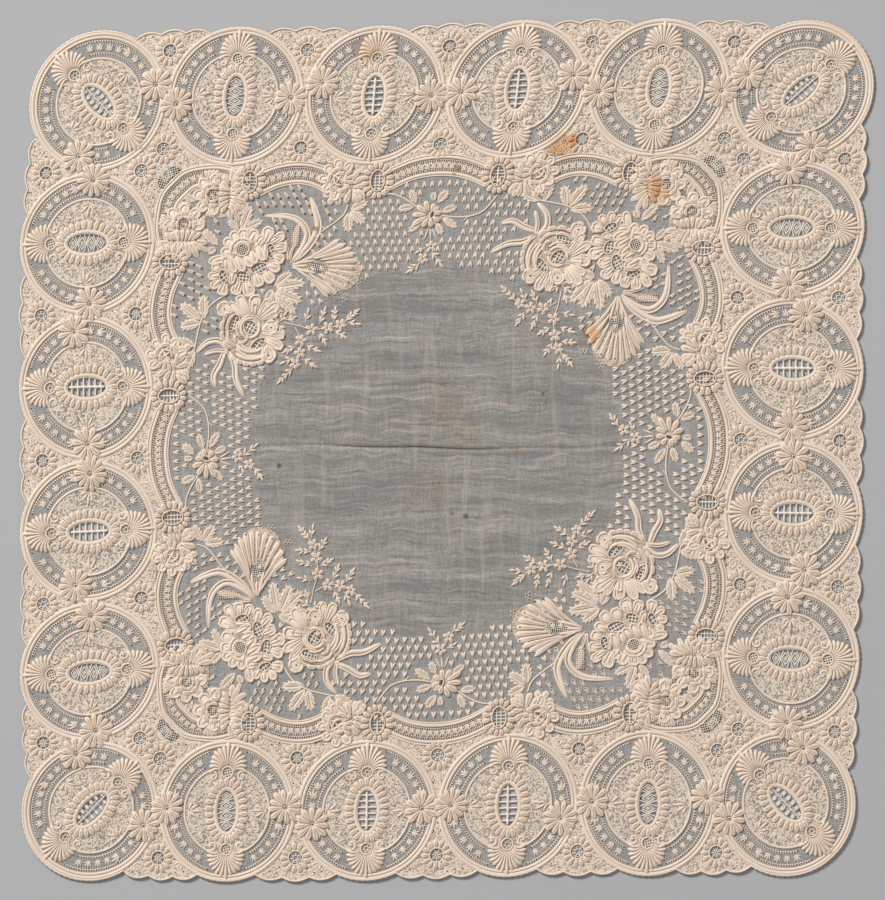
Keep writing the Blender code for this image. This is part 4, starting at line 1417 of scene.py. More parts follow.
@dataclass
class Join:
    """Where two medallions meet: daisies, and an eyelet with scrolls inside and outside."""

    index: int
    eye_out: float = 25.6
    eye_in: float = -25.3
    eye_r: float = 3.3

    def work(self, box: Workbox, side: int) -> None:
        """Work the join on one side of the cloth."""
        piece = box.sampler(f"join_flowers_{side + 1}")
        u = (self.index - 2.0) * PITCH
        for across in (self.eye_out, self.eye_in):
            self.spandrel(box, piece, Pen(side, u, ROW + across, 0.0 if across > 0 else 180.0))
        for spot in DAISIES:
            if spot.join == self.index:
                self.daisy(box, piece, Pen(side, u + spot.along, ROW + spot.across), spot.petals)

    def daisy(self, box: Workbox, piece: Sampler, pen: Pen, petals: int) -> None:
        """One daisy of slit petals round a pricked eye."""
        for i in range(petals):
            a = 360.0 * (i + 0.3) / petals
            reach = 8.9 + 0.5 * math.sin(2.1 * i)
            wide = 30.0 / petals
            piece.ray(pen, (0.0, 0.0), a, (1.0, reach), (0.8, 1.08 * wide, 1.72 * wide), 1.2, 0.45,
                      level=0.25)
        piece.knot(pen, np.array([[0.0, 0.0]]), 1.1, 0.55, 0.35)
        box.prick(pen, np.array([[0.0, 0.0]]), 0.45, 0.85)

    def spandrel(self, box: Workbox, piece: Sampler, pen: Pen) -> None:
        """A wheel eyelet ringed with short petals, and the scrolls and pricks beside it."""
        wheel = (Wheel.STAR, Wheel.WEB)[(self.index + (pen.turn > 0)) % 2]
        Eyelet(self.eye_r, wheel, 7).work(box, piece, pen, 20.0 * self.index)
        count = 13
        for i in range(count):
            piece.ray(pen, (0.0, 0.0), 360.0 * i / count, (4.0, 7.9), (1.9, 2.7, 2.9), 1.0, 0.2)
        for side in (1.0, -1.0):
            for x, y, r, start, sweep in (
                    (11.2, 4.6, 2.5, 200.0, 420.0), (16.2, 6.0, 1.9, 160.0, -400.0),
                    (4.0, -10.6, 1.8, 60.0, 400.0), (21.0, 6.6, 1.5, 200.0, 400.0)):
                curl = spiral(r, 0.5, start, sweep, 24, x, y) * np.array([side, 1.0])
                piece.cord(pen, curl, 0.8, 0.5)
                piece.knot(pen, np.array([[x * side, y]]), 0.55, 0.5)
            painted_shade = np.array([(8.6, 0.6), (9.6, 7.6), (13.6, 6.9), (5.2, -8.3), (1.8, -12.6),
                             (18.6, 4.4)])
            box.prick(pen, painted_shade * np.array([side, 1.0]), 0.36)


@dataclass
class EdgeBinding:
    """The whipped edge: a narrow rim that follows the scallops, toothed along the medallions."""

    rim: float = 0.75
    tooth: float = 3.0

    def work(self, box: Workbox) -> None:
        """Work the rim all round."""
        piece = box.sampler("whipped_edge")
        for side in range(SIDES):
            pen = Pen(side)
            line = side_edge()
            way = np.gradient(line, axis=0)
            way /= np.linalg.norm(way, axis=1, keepdims=True)
            inner = line + np.stack([way[:, 1], -way[:, 0]], axis=1) * 0.55
            piece.cord(pen, inner, 1.25, 0.85)
            for k in range(MEDALLIONS_PER_SIDE):
                self.teeth(piece, side, k)

    def teeth(self, piece: Sampler, side: int, k: int) -> None:
        """Fine buttonhole teeth along one medallion's own arc of the edge."""
        corner = k == 0
        radius = CORNER_EDGE_R if corner else EDGE_R
        half = 72.0 if corner else 24.0
        pen = Pen(side, (k - 2.5) * PITCH, ROW if corner else ROW + ROW_BULGE, 45.0 if corner else 0.0)
        count = round(2.0 * math.radians(half) * radius / self.tooth)
        for i in range(count):
            a = 90.0 - half + 2.0 * half * (i + 0.5) / count
            step = 0.5 * 2.0 * half / count
            piece.lobe(pen, polar(radius - 0.6, a - step), polar(radius + 0.45, a),
                       polar(radius - 0.6, a + step), (0.7, 0.9, 0.7), 0.6, fine=True)


@dataclass
class InnerFrame:
    """The double cord arcs with their zigzag filling, and the sunflowers between them."""

    eye_rx: float = 3.3
    eye_ry: float = 5.1
    petals: int = 16
    sprig_gap: float = 3.2

    def work(self, box: Workbox, side: int) -> None:
        """Work one side of the frame, with its left corner."""
        piece = box.sampler(f"inner_frame_{side + 1}")
        pen = Pen(side)
        outer = np.array([(-96.0, 141.6), (-84.0, 146.0), (-72.0, 147.4), (-61.0, 145.2),
                          (-49.0, 138.6)])
        inner = np.array([(-93.0, 132.8), (-83.0, 137.2), (-73.0, 138.8), (-64.0, 137.0),
                          (-54.0, 131.6)])
        self.arc(box, piece, pen, outer, inner)
        self.arc(box, piece, pen, (outer * (-1.0, 1.0))[::-1], (inner * (-1.0, 1.0))[::-1])
        self.arc(box, piece, pen, np.array([(-29.0, 141.4), (-14.0, 147.6), (0.0, 149.4), (14.0, 147.6),
                                            (29.0, 141.4)]),
                 np.array([(-28.0, 132.8), (-14.0, 139.2), (0.0, 141.2), (14.0, 139.2), (28.0, 132.8)]))
        self.arc(box, piece, pen, np.array([(-142.4, 102.0), (-145.8, 114.0), (-145.6, 124.6),
                                            (-143.6, 132.8), (-138.7, 138.7),
                                            (-132.8, 143.6), (-124.6, 145.6), (-114.0, 145.8),
                                            (-102.0, 142.4)]),
                 np.array([(-134.0, 106.0), (-137.2, 115.0), (-137.7, 122.0), (-136.6, 127.8),
                           (-132.6, 132.6), (-127.8, 136.6),
                           (-122.0, 137.7), (-115.0, 137.2), (-106.0, 134.0)]))
        for index, u in enumerate(FRAME_U):
            self.sunflower(box, piece, Pen(side, u, FRAME_V), index)
        for u, v, way in ((-49.6, 138.4, 1.0), (49.8, 138.6, -1.0)):
            FrameRose().work(box, piece, Pen(side, u, v), way)
        leaves = Hand(box, piece, pen)
        for base, tip, wide in (
                ((-126.6, 129.0), (-133.2, 132.4), 4.6), ((-128.6, 127.4), (-136.2, 126.6), 4.6),
                ((-127.4, 124.6), (-131.0, 120.6), 3.6), ((-104.0, 121.6), (-98.6, 128.0), 4.4)):
            leaves.leaf(base, tip, wide, 3)
        CornerRose().work(box, piece, Pen(side, -132.2, 118.0), 1.0)
        CornerRose().work(box, piece, Pen(side, -118.0, 132.2, 90.0), -1.0)
        SideFlower().work(box, piece, Pen(side, -2.0, 119.6))

    def arc(self, box: Workbox, piece: Sampler, pen: Pen, outer: Points, inner: Points) -> None:
        """One pair of double cords with the sprigs and pricked rows between them.

        Args:
            box: takes the pricked holes.
            piece: takes the stitches.
            pen: places it.
            outer: places along the outer cord.
            inner: places along the inner cord, matched to the outer ones.
        """
        out, into = smooth(outer, 12), smooth(inner, 12)
        gap = out - into
        gap /= np.linalg.norm(gap, axis=1, keepdims=True)
        for line, shift, width, height in (
                (out, 0.0, 1.9, 0.85), (out, 1.5, 1.2, 0.7), (into, 0.0, 2.0, 0.85),
                (into, -1.3, 1.0, 0.6)):
            piece.cord(pen, line + gap * shift, width, height)
        for line, shift in ((out, -1.7), (into, 1.7)):
            row = line + gap * shift
            run = np.concatenate([[0.0], np.cumsum(np.linalg.norm(np.diff(row, axis=0), axis=1))])
            at = np.arange(0.6, run[-1], 1.2)
            piece.cord(pen, row, 1.4, 0.14)
            box.prick(pen, np.column_stack([np.interp(at, run, row[:, k]) for k in (0, 1)]), 0.4, 0.27)
        run = np.concatenate([[0.0], np.cumsum(np.linalg.norm(np.diff(into, axis=0), axis=1))])
        for at in np.arange(0.5 * self.sprig_gap, run[-1], self.sprig_gap):
            foot = np.array([np.interp(at, run, (into + gap * 2.5)[:, k]) for k in (0, 1)])
            way = [np.interp(at, run, gap[:, k]) for k in (0, 1)]
            aim = math.degrees(math.atan2(way[1], way[0]))
            for tilt, length in ((24.0, 4.0), (-24.0, 4.0), (0.0, 3.3), (60.0, 1.9), (-60.0, 1.9)):
                piece.ray(pen, foot, aim + tilt, (0.0, length), (0.6, 1.15, 0.5), 0.6, fine=True)

    def sunflower(self, box: Workbox, piece: Sampler, pen: Pen, index: int) -> None:
        """A flower with an oval openwork eye."""
        rx, ry = self.eye_rx, self.eye_ry
        box.cut(pen, oval(rx, ry, 28))
        piece.cord(pen, oval(rx + 0.4, ry + 0.4, 34), 0.9, 0.9, closed=True, level=0.3)
        for i in range(self.petals):
            a = math.tau * (i + 0.5) / self.petals
            base = np.array([(rx + 1.2) * math.cos(a), (ry + 1.1) * math.sin(a)])
            tip = np.array([(rx + 5.6) * math.cos(a), (ry + 4.6) * math.sin(a)])
            piece.lobe(pen, base, 0.5 * (base + tip), tip, (1.7, 2.7, 2.9), 1.15, 0.38, level=0.25)
        rows = 6
        for i in range(rows):
            y = ry * (2.0 * (i + 0.5) / rows - 1.0)
            half = rx * math.sqrt(1.0 - (y / ry) ** 2)
            box.bar(pen, (-half, y), (half, y), 0.5)
        if index % 2:
            for x in (-1.1, 1.1):
                box.bar(pen, (x, -0.94 * ry), (x, 0.94 * ry), 0.6)
        else:
            box.bar(pen, (0.0, -ry), (0.0, ry), 0.85)


@dataclass
class FrameRose:
    """A rose beside a sunflower of the frame, its fans turned to the sunflower and the centre."""

    slit_rx: float = 0.75
    slit_ry: float = 3.1

    def work(self, box: Workbox, piece: Sampler, pen: Pen, way: float) -> None:
        """Work the rose.

        Args:
            box: takes the slit.
            piece: takes the stitches.
            pen: places it, its ball at the origin.
            way: 1 where the sunflower is to its right, -1 to its left.
        """
        hand = Hand(box, piece, pen)

        def side(angle: float) -> float:
            """The angle, mirrored for a rose to the left of its sunflower."""
            return angle if way > 0 else 180.0 - angle

        lean = -38.0 * way
        box.cut(pen, oval(self.slit_rx, self.slit_ry, 16, -3.4 * way, 1.6, lean))
        piece.cord(pen, oval(self.slit_rx + 0.6, self.slit_ry + 0.6, 24, -3.4 * way, 1.6, lean), 1.1,
                   0.9,
                   closed=True, level=0.2)
        ball = (-1.6 * way, 1.0)
        hand.petal_row(ball, side(58.0), side(256.0), 6, (5.2, 10.4), 5.6, 0.05, 0.75)
        hand.petals(ball, 5.9, side(80.0), side(318.0), 4, 3.0, level=0.15)
        hand.petals(ball, 3.6, side(-30.0), side(118.0), 2, 2.8, level=0.25)
        hand.crescent(ball, 2.9, side(160.0), side(300.0), 1.4, 1.3, 0.3)
        hand.fan(ball, side(-40.0), side(40.0), 4, (3.6, 8.0), (1.2, 2.6, 2.4), 1.1, 0.34, level=0.12)
        hub = (5.4 * way, -3.0)
        hand.fan(hub, side(62.0), side(-48.0), 5, (0.4, 6.8), (1.1, 3.2, 4.2), 1.1, 0.4, spread=6.0)
        hand.fan(hub, side(-54.0), side(-134.0), 4, (0.8, 8.0), (1.1, 3.6, 4.8), 1.1, 0.4, bulge=0.8,
                 spread=4.0)
        hand.fan((-2.6 * way, -5.4), side(-80.0), side(-166.0), 3, (1.0, 7.4), (1.5, 4.2, 5.0), 1.0,
                 0.34)
        hand.fan((-0.5 * way, 6.4), side(20.0), side(150.0), 5, (0.6, 4.7), (1.2, 2.5, 2.9), 0.9, 0.25)
        hand.fan((-7.2 * way, -0.4), side(150.0), side(215.0), 3, (0.6, 3.8), (1.4, 2.6, 2.4), 0.9, 0.2)


@dataclass
class CornerRose:
    """One of the pair of roses at a frame corner: a ball of petals over a wide fan."""

    def work(self, box: Workbox, piece: Sampler, pen: Pen, mirror: float) -> None:
        """Work the rose, its fan pointing down its own drawing.

        Args:
            box: takes the opening.
            piece: takes the stitches.
            pen: places it, its opening at the origin.
            mirror: 1 or -1, for the left or the right one.
        """
        hand = Hand(box, piece, pen)
        hand.net((0.0, 0.0), 2.6, 1.9, 0.0, 1.0, 0.3, shaded=True)
        hand.petal_row((0.0, -0.8), -2.0, 182.0, 5, (3.8, 10.6), 7.2)
        hand.petals((0.0, -0.4), 5.7, -24.0, 204.0, 5, 3.2, level=0.2)
        hand.petals((0.0, -0.2), 3.6, -40.0, 220.0, 4, 2.3, level=0.32)
        hub = (-0.4 * mirror, -9.2)
        hand.fan(hub, 140.0, 40.0, 7, (0.3, 6.6), (0.9, 2.4, 3.0), 1.15, 0.4, bulge=-0.6, level=0.16,
                 spread=9.0)
        hand.fan(hub, -172.0, -8.0, 9, (0.4, 8.6), (1.2, 3.4, 4.9), 1.1, 0.45, bulge=0.6, spread=10.0)
        hand.fan(hub, -150.0, -30.0, 6, (3.4, 11.2), (1.0, 3.0, 3.6), 1.0, 0.4, bulge=-1.0, level=-0.2,
                 spread=9.0)
        hand.fan((-6.8 * mirror, 1.0), 90.0 + 58.0 * mirror, 90.0 + 142.0 * mirror, 5, (1.0, 6.6),
                 (1.3, 2.6, 2.9), 0.95, 0.3)
        hand.fan((6.8 * mirror, 0.0), 90.0 - 58.0 * mirror, 90.0 - 132.0 * mirror, 4, (1.0, 5.2),
                 (1.3, 2.6, 2.9), 0.95, 0.3)
        box.prick(pen, np.array([(-7.4, -8.6), (6.6, -8.8), (-8.6 * mirror, -3.0)]), 0.4, 0.9)


@dataclass
class SideFlower:
    """The small flower at the middle of a side, with leaves, stems and a spray to the centre."""

    def work(self, box: Workbox, piece: Sampler, pen: Pen) -> None:
        """Work the flower, its eye at the origin and the centre of the cloth below it."""
        hand = Hand(box, piece, pen)
        box.cut(pen, oval(0.8, 1.7, 14, 0.6, 0.2, -24.0))
        piece.cord(pen, oval(1.3, 2.2, 20, 0.6, 0.2, -24.0), 0.9, 1.0, closed=True, level=0.2)
        for aim, reach, wide in (
                (72.0, 6.0, 3.2), (112.0, 8.0, 3.2), (146.0, 8.8, 3.2), (178.0, 9.4, 3.0),
                (208.0, 10.2, 3.2), (238.0, 7.4, 3.2), (276.0, 6.6, 3.2), (322.0, 6.2, 3.0),
                (12.0, 6.2, 3.0), (42.0, 5.8, 2.8)):
            piece.ray(pen, (-0.6, 0.0), aim, (1.9, reach), (1.0, wide, 0.95 * wide), 1.1, 0.4,
                      level=0.2)
        for base, tip, wide in (
                ((3.0, 6.2), (8.2, 12.4), 5.2), ((1.0, 7.0), (0.6, 11.8), 3.6),
                ((5.4, 1.4), (13.4, 3.6), 4.6), ((6.0, -1.8), (14.0, -7.4), 4.8),
                ((3.2, -4.4), (6.0, -10.8), 4.4), ((-5.0, -3.6), (-11.6, -8.4), 4.2),
                ((-9.4, 4.6), (-17.6, 3.6), 4.6), ((-8.4, 6.2), (-11.6, 13.6), 4.8)):
            hand.leaf(base, tip, wide, 3)
        hand.cord([(-8.0, 4.6), (-14.0, 8.6), (-20.4, 11.4), (-28.0, 11.6), (-33.0, 9.8)], 0.95)
        hand.cord([(5.0, -0.6), (13.0, -1.8), (21.0, -1.4), (27.4, 1.2), (33.6, 8.6)], 0.95)
        hand.cord([(20.0, -1.4), (17.0, -3.6)], 0.7)
        for base, tip in (((-1.0, -7.0), (-3.6, -13.4)), ((-0.4, -7.0), (0.2, -13.0)),
                          ((0.6, -7.0), (3.6, -12.8))):
            hand.lobe(base, tuple(0.5 * (np.array(base) + tip)), tip, (0.4, 1.2, 0.4), 0.6, fine=True)
        hand.cord([(0.2, -8.0), (0.0, -15.6), (-3.0, -21.0), (-6.4, -26.6)], 0.6)
        hand.forget_me_not((0.6, -16.4), 3.0, 20.0)
        hand.forget_me_not((-3.6, -22.8), 2.8, 50.0)
        hand.sprig((0.8, -19.0), (5.4, -25.4), 2, 3.0)
        hand.sprig((-5.4, -25.2), (-9.8, -28.2), 2, 2.8)
        hand.sprig((-2.6, -17.0), (-6.0, -18.8), 1, 2.0)


@dataclass
class Bouquet:
    """The bouquet inside a frame corner: two large roses, a trumpet flower, leaves and sprays."""

    cluster_at: tuple = (-96.8, 99.5)
    rose_at: tuple = (-95.7, 63.6)
    trumpet_at: tuple = (-74.5, 95.2)

    def work(self, box: Workbox, side: int) -> None:
        """Work the bouquet of one corner."""
        piece = box.sampler(f"bouquet_{side + 1}")
        pen = Pen(side)
        self.greenery(Hand(box, piece, pen))
        self.sprays(Hand(box, piece, pen))
        self.cluster(Hand(box, piece, pen.at(*self.cluster_at)))
        self.rose(Hand(box, piece, pen.at(*self.rose_at)))
        self.trumpet(Hand(box, piece, pen.at(*self.trumpet_at)))

    def opening(self, hand: Hand, centre: tuple, rx: float, ry: float, turn: float) -> None:
        """One opening of a rose, corded and filled with net."""
        hand.box.cut(hand.pen, oval(rx, ry, 24, *centre, turn))
        hand.piece.cord(hand.pen, oval(rx + 0.35, ry + 0.35, 30, *centre, turn), 0.8, 0.8, closed=True,
                        level=0.1)
        hand.net(centre, rx, ry, turn + 18.0, 1.75, 0.6)

    def cluster(self, hand: Hand) -> None:
        """The upper rose, with four openings and a small net."""
        hand.net((-3.9, 4.4), 2.9, 2.5, 20.0, 1.0, 0.34, shaded=True)
        hand.piece.cord(hand.pen, oval(3.4, 3.0, 30, -3.9, 4.4, 20.0), 1.1, 0.95, closed=True,
                        level=0.1)
        for opening in (
                ((11.0, 3.7), 1.9, 3.4, 12.0), ((5.3, -4.9), 4.2, 2.4, 10.0),
                ((-3.1, -9.1), 3.4, 2.2, -25.0), ((-13.5, -8.7), 1.8, 3.0, 20.0)):
            self.opening(hand, *opening)
        for base, tip, width, ribs in (
                ((-11.0, 1.0), (-20.8, -1.4), 5.2, 1), ((-6.4, 2.0), (-14.6, 4.0), 5.8, 1),
                ((-6.4, 5.8), (-13.4, 9.4), 5.8, 1), ((-5.6, 7.6), (-9.6, 13.4), 5.8, 1),
                ((-3.9, 8.2), (-3.8, 14.8), 6.8, 2), ((-0.6, 7.6), (2.8, 14.0), 6.4, 1),
                ((2.6, 5.4), (6.8, 11.2), 4.8, 1), ((7.2, 7.4), (10.2, 15.6), 7.2, 3),
                ((10.4, 7.4), (17.6, 12.0), 5.6, 2), ((12.6, 4.8), (19.2, 5.4), 6.0, 2),
                ((12.2, 1.4), (17.8, -1.4), 6.0, 2), ((8.8, -3.6), (15.8, -5.6), 5.6, 1),
                ((7.4, -6.6), (12.6, -12.0), 6.4, 2), ((3.2, -7.4), (6.2, -14.0), 6.4, 2),
                ((-1.8, -11.4), (1.2, -18.8), 7.6, 3), ((-4.8, -11.2), (-7.2, -18.0), 6.4, 2),
                ((-12.4, -12.0), (-14.0, -18.2), 6.6, 3), ((-14.8, -10.8), (-19.4, -14.2), 4.8, 1),
                ((-15.2, -8.6), (-21.0, -8.6), 4.8, 1), ((-14.8, -6.0), (-19.2, -3.4), 4.6, 1),
                ((-12.0, -5.0), (-12.8, 0.8), 5.0, 1)):
            hand.petal(base, tip, width, ribs)
        for base, tip, width in (
                ((-11.0, 1.6), (-7.4, -6.6), 5.4), ((-7.4, 1.2), (-2.8, -6.0), 5.4),
                ((-3.2, 1.2), (1.4, -3.6), 5.0), ((0.4, 3.8), (3.4, -2.2), 5.0),
                ((3.4, 6.8), (7.4, -0.8), 5.2), ((-8.0, -5.8), (-9.2, -12.6), 4.0),
                ((8.2, 7.4), (8.4, -0.6), 3.0)):
            hand.petal(base, tip, width, 1, 1.25, 0.14, 0.8)
        for radius, first, last in ((4.2, 10.0, 190.0), (6.0, 24.0, 110.0), (6.2, 96.0, 200.0)):
            hand.crescent((-3.9, 4.2), radius, first, last, 2.0, 1.1, 0.2)
        hand.box.prick(hand.pen, np.array([(13.0, 10.6), (-14.6, -13.4), (0.6, -14.6), (1.9, 1.0),
                                           (3.6, 8.8)]),
                       0.34, 0.75)

    def rose(self, hand: Hand) -> None:
        """The lower rose, with three openings, nested petals and smooth outer lobes."""
        hand.net((-4.5, -3.6), 2.2, 1.3, 0.0, 0.9, 0.3, shaded=True)
        for opening in (((-8.9, 3.6), 2.4, 4.2, -32.0), ((0.4, 0.8), 3.9, 2.9, -48.0),
                        ((4.3, -7.8), 4.3, 2.1, 38.0)):
            self.opening(hand, *opening)
        for centre, way, wide in (((-13.6, 10.6), 158.0, 8.6), ((11.0, 0.6), 14.0, 8.2),
                                  ((9.8, -13.4), -78.0, 8.8)):
            foot, tip = np.array(centre) - polar(0.62 * wide,
                                                 way), np.array(centre) + polar(0.42 * wide, way)
            hand.lobe(foot, 0.5 * (foot + tip), tip, (0.55 * wide, wide, 0.95 * wide), 0.7, 0.0)
            hand.petals(centre, 0.42 * wide, way - 112.0, way + 112.0, 3, 2.1, 1.0, 0.0, 0.1)
            hand.crescent(centre, 0.25 * wide, way - 100.0, way + 100.0, 0.6, 0.85, 0.1)
            hand.fan(tuple(foot), way - 24.0, way + 24.0, 3, (0.0, 0.5 * wide), (0.6, 1.1, 0.5), 1.0,
                     0.0, level=0.1)
            hand.box.prick(hand.pen, np.array([centre]), 0.42, 0.72)
        for base, tip, width, ribs in (
                ((-1.6, 6.0), (-11.2, 13.6), 4.6, 2), ((-0.2, 6.8), (-6.4, 17.0), 5.6, 3),
                ((1.8, 7.2), (2.8, 17.4), 7.4, 2), ((4.4, 6.4), (9.6, 14.6), 4.6, 2),
                ((5.0, 5.6), (14.8, 12.4), 6.2, 3), ((6.0, 4.6), (14.4, 7.6), 4.0, 2),
                ((6.4, -2.0), (18.0, -4.2), 4.6, 2), ((7.6, -4.8), (17.2, -9.8), 5.6, 3),
                ((6.4, -9.6), (8.2, -14.4), 3.6, 1)):
            hand.petal(base, tip, width, ribs)
        hand.crescent((2.7, 14.2), 2.9, 5.0, 175.0, 1.0, 1.3, 0.25)
        hand.crescent((2.6, 11.2), 1.7, 0.0, 180.0, 0.8, 1.3, 0.25)
        hand.petals((-1.0, 0.2), 14.0, 138.0, 226.0, 4, 3.0, 1.0, 0.3, 0.0)
        hand.petals((-0.6, 0.0), 11.6, 134.0, 232.0, 2, 2.2, 1.1, 0.2, 0.1)
        hand.petals((1.2, -1.4), 16.4, 226.0, 292.0, 5, 3.2, 1.0, 0.3, 0.0)
        for centre, radius, start, end, width in (
                ((1.9, -2.2), 8.2, 200.0, 286.0, 1.6), ((1.0, -1.2), 10.2, 214.0, 312.0, 2.2),
                ((2.2, -2.8), 11.2, 208.0, 290.0, 1.5), ((1.2, -1.6), 13.4, 228.0, 316.0, 2.3)):
            hand.crescent(centre, radius, start, end, width, 1.0, 0.1)
        for centre, radius, start, end, width in (
                ((0.2, 0.6), 5.0, 64.0, 250.0, 1.9), ((0.9, 0.2), 6.9, 92.0, 190.0, 1.5),
                ((-0.4, 1.0), 6.7, 150.0, 232.0, 1.5), ((0.2, 0.6), 4.8, 250.0, 400.0, 1.8)):
            hand.crescent(centre, radius, start, end, width, 1.1, 0.15)
        hand.petals((-4.6, -3.6), 3.4, 170.0, 372.0, 3, 2.3, 1.0, 0.2, 0.1)

    def trumpet(self, hand: Hand) -> None:
        """The trumpet flower, with a net throat and a wide fluted mouth."""
        hand.net((13.4, -0.9), 5.4, 2.2, -10.0, 1.0, 0.34, shaded=True)
        hand.lobe((0.0, 0.6), (6.0, 2.4), (12.4, 2.4), (0.9, 1.9, 1.2), 1.0)
        hand.lobe((0.0, 0.0), (4.0, 0.0), (8.4, -0.2), (0.9, 1.8, 0.9), 1.0)
        hand.lobe((0.0, -0.6), (6.0, -2.4), (13.0, -4.2), (0.9, 1.9, 1.2), 1.0)
        for base, middle, tip, wide in (
                ((2.0, 1.2), (15.0, 5.4), (25.0, 13.4), 3.6),
                ((7.4, 3.2), (18.6, 5.8), (28.2, 11.0), 3.4),
                ((10.6, 3.4), (21.4, 5.2), (31.6, 8.6), 3.6),
                ((14.6, 2.8), (23.4, 3.6), (33.8, 5.4), 3.8),
                ((17.4, 1.2), (25.0, 1.6), (34.8, 1.8), 4.0),
                ((19.4, -0.6), (26.4, -1.2), (34.4, -1.8), 4.0),
                ((19.2, -2.2), (26.0, -3.8), (33.4, -5.6), 4.0),
                ((17.4, -3.4), (24.4, -6.2), (31.6, -9.4), 4.0),
                ((13.6, -4.2), (21.2, -8.0), (28.6, -12.8), 3.8),
                ((8.6, -3.6), (17.2, -9.0), (24.6, -15.4), 3.8),
                ((2.0, -1.6), (12.4, -6.6), (19.4, -16.6), 3.8)):
            hand.lobe(base, middle, tip, (0.9, 0.62 * wide, wide), 1.1, 0.22)
        for base, middle, tip in (((11.6, 4.2), (18.4, 7.0), (25.4, 11.4)),
                                  ((10.0, -4.4), (15.4, -9.0), (20.8, -15.0))):
            hand.lobe(base, middle, tip, (0.6, 1.6, 2.2), 0.9, 0.0, -0.1)
        painted_shade = [(27.6, 12.2), (32.6, 5.0), (32.4, -1.9), (30.0, -9.0), (24.4, -14.6), (20.4, -15.6)]
        hand.box.prick(hand.pen, np.array(painted_shade), 0.42, 0.9)
        for x, y in ((35.4, -8.6), (27.6, -17.4)):
            dots = np.array([(0.0, 0.0), (1.4, 0.9), (1.3, -0.9), (-0.2, -1.7),
                             (0.3, 1.6)]) + np.array([x, y])
            hand.piece.knot(hand.pen, dots, 0.8, 0.35)
            hand.box.prick(hand.pen, dots, 0.34, 0.3)

    def greenery(self, hand: Hand) -> None:
        """The stems, long blades, seed bud and leaves."""
        hand.blade([(-75.4, 96.4), (-69.8, 103.0), (-66.8, 111.0), (-70.4, 117.4), (-77.6, 120.6),
                    (-90.6, 121.2)], 4.2)
        hand.blade([(-73.6, 97.6), (-66.4, 104.6), (-61.4, 113.6), (-62.4, 121.4), (-66.2, 130.6)], 4.6)
        hand.blade([(-76.6, 97.6), (-76.8, 103.0), (-78.4, 108.8)], 1.8)
        hand.blade([(-75.8, 97.6), (-74.8, 102.6), (-73.2, 106.4)], 1.8)
        hand.lobe((-73.4, 104.0), (-73.6, 110.0), (-71.8, 116.4), (1.6, 4.6, 2.0), 0.55)
        seeds = [(-73.4 + x * 1.15 + 0.25 * (row % 2), 105.6 + 1.1 * row) for row in range(10) for x in (-1.4, -0.4, 0.6, 1.6)]
        hand.piece.knot(hand.pen, np.array(seeds), 0.48, 0.45, 0.4)
        hand.cord([(-62.6, 109.8), (-58.0, 113.6), (-52.4, 117.4), (-48.0, 121.4), (-46.0, 126.4)], 1.0)
        hand.cord([(-58.0, 113.6), (-59.4, 116.0)], 0.8)
        hand.cord([(-107.5, 81.9), (-113.6, 78.6), (-118.6, 74.0), (-121.8, 67.4), (-123.6, 60.2),
                   (-125.0, 53.4)], 1.0)
        for base, tip, wide, bend in (
                ((-83.2, 85.0), (-74.0, 91.8), 5.8, 0.6), ((-82.6, 84.2), (-66.8, 86.4), 7.0, 0.4),
                ((-82.4, 83.0), (-68.6, 76.8), 7.6, -0.6), ((-83.0, 82.0), (-71.8, 70.6), 6.6, 0.4),
                ((-83.6, 82.4), (-80.6, 70.6), 7.0, -0.6), ((-84.0, 83.4), (-87.4, 77.6), 5.0, 0.0)):
            hand.leaf(base, tip, wide, 5, bend)
        for base, tip, wide, bend in (
                ((-119.6, 69.6), (-120.4, 81.6), 6.6, 0.4), ((-121.4, 69.2), (-132.6, 77.4), 6.8, 0.4),
                ((-121.8, 67.6), (-132.4, 65.6), 6.4, -0.4), ((-124.4, 56.0), (-134.6, 59.4), 5.6, 0.0),
                ((-124.8, 54.0), (-130.0, 43.8), 6.6, 0.4), ((-101.6, 113.6), (-97.0, 126.4), 6.2, 0.6),
                ((-100.6, 114.0), (-90.6, 118.8), 5.2, 0.4),
                ((-103.2, 114.0), (-108.8, 119.4), 4.6, -0.3),
                ((-113.4, 106.4), (-121.6, 114.6), 5.4, 0.3),
                ((-114.6, 104.8), (-118.8, 103.0), 4.4, 0.0),
                ((-45.0, 122.6), (-36.6, 116.4), 6.4, 0.6), ((-45.8, 122.0), (-45.0, 111.8), 6.2, -0.4),
                ((-44.6, 123.4), (-35.6, 127.6), 5.4, 0.4)):
            hand.leaf(base, tip, wide, 4, bend)
        hand.blade([(-107.0, 53.6), (-111.4, 58.0), (-118.0, 57.6), (-124.0, 52.4)], 3.6)
        hand.blade([(-107.6, 52.6), (-113.6, 53.2), (-119.8, 51.6)], 2.6)
        hand.blade([(-108.6, 53.8), (-111.4, 46.4), (-114.6, 40.6), (-113.8, 34.6)], 3.8)
        hand.blade([(-107.0, 53.0), (-103.6, 46.0), (-102.8, 38.0), (-98.8, 29.4)], 3.8)
        hand.cord([(-107.4, 60.0), (-107.8, 56.0), (-108.2, 51.6)], 2.6, 0.7)
        hand.cord([(-82.0, 60.0), (-81.6, 64.6), (-79.4, 67.6), (-75.6, 67.8), (-72.6, 66.4)], 0.6)
        for base, tip in (
                ((-81.8, 64.0), (-82.0, 68.0)), ((-80.0, 67.0), (-77.8, 70.0)),
                ((-76.6, 67.8), (-73.6, 68.6)), ((-80.8, 65.8), (-78.6, 62.4))):
            hand.sprig(base, tip, 1, 2.7)

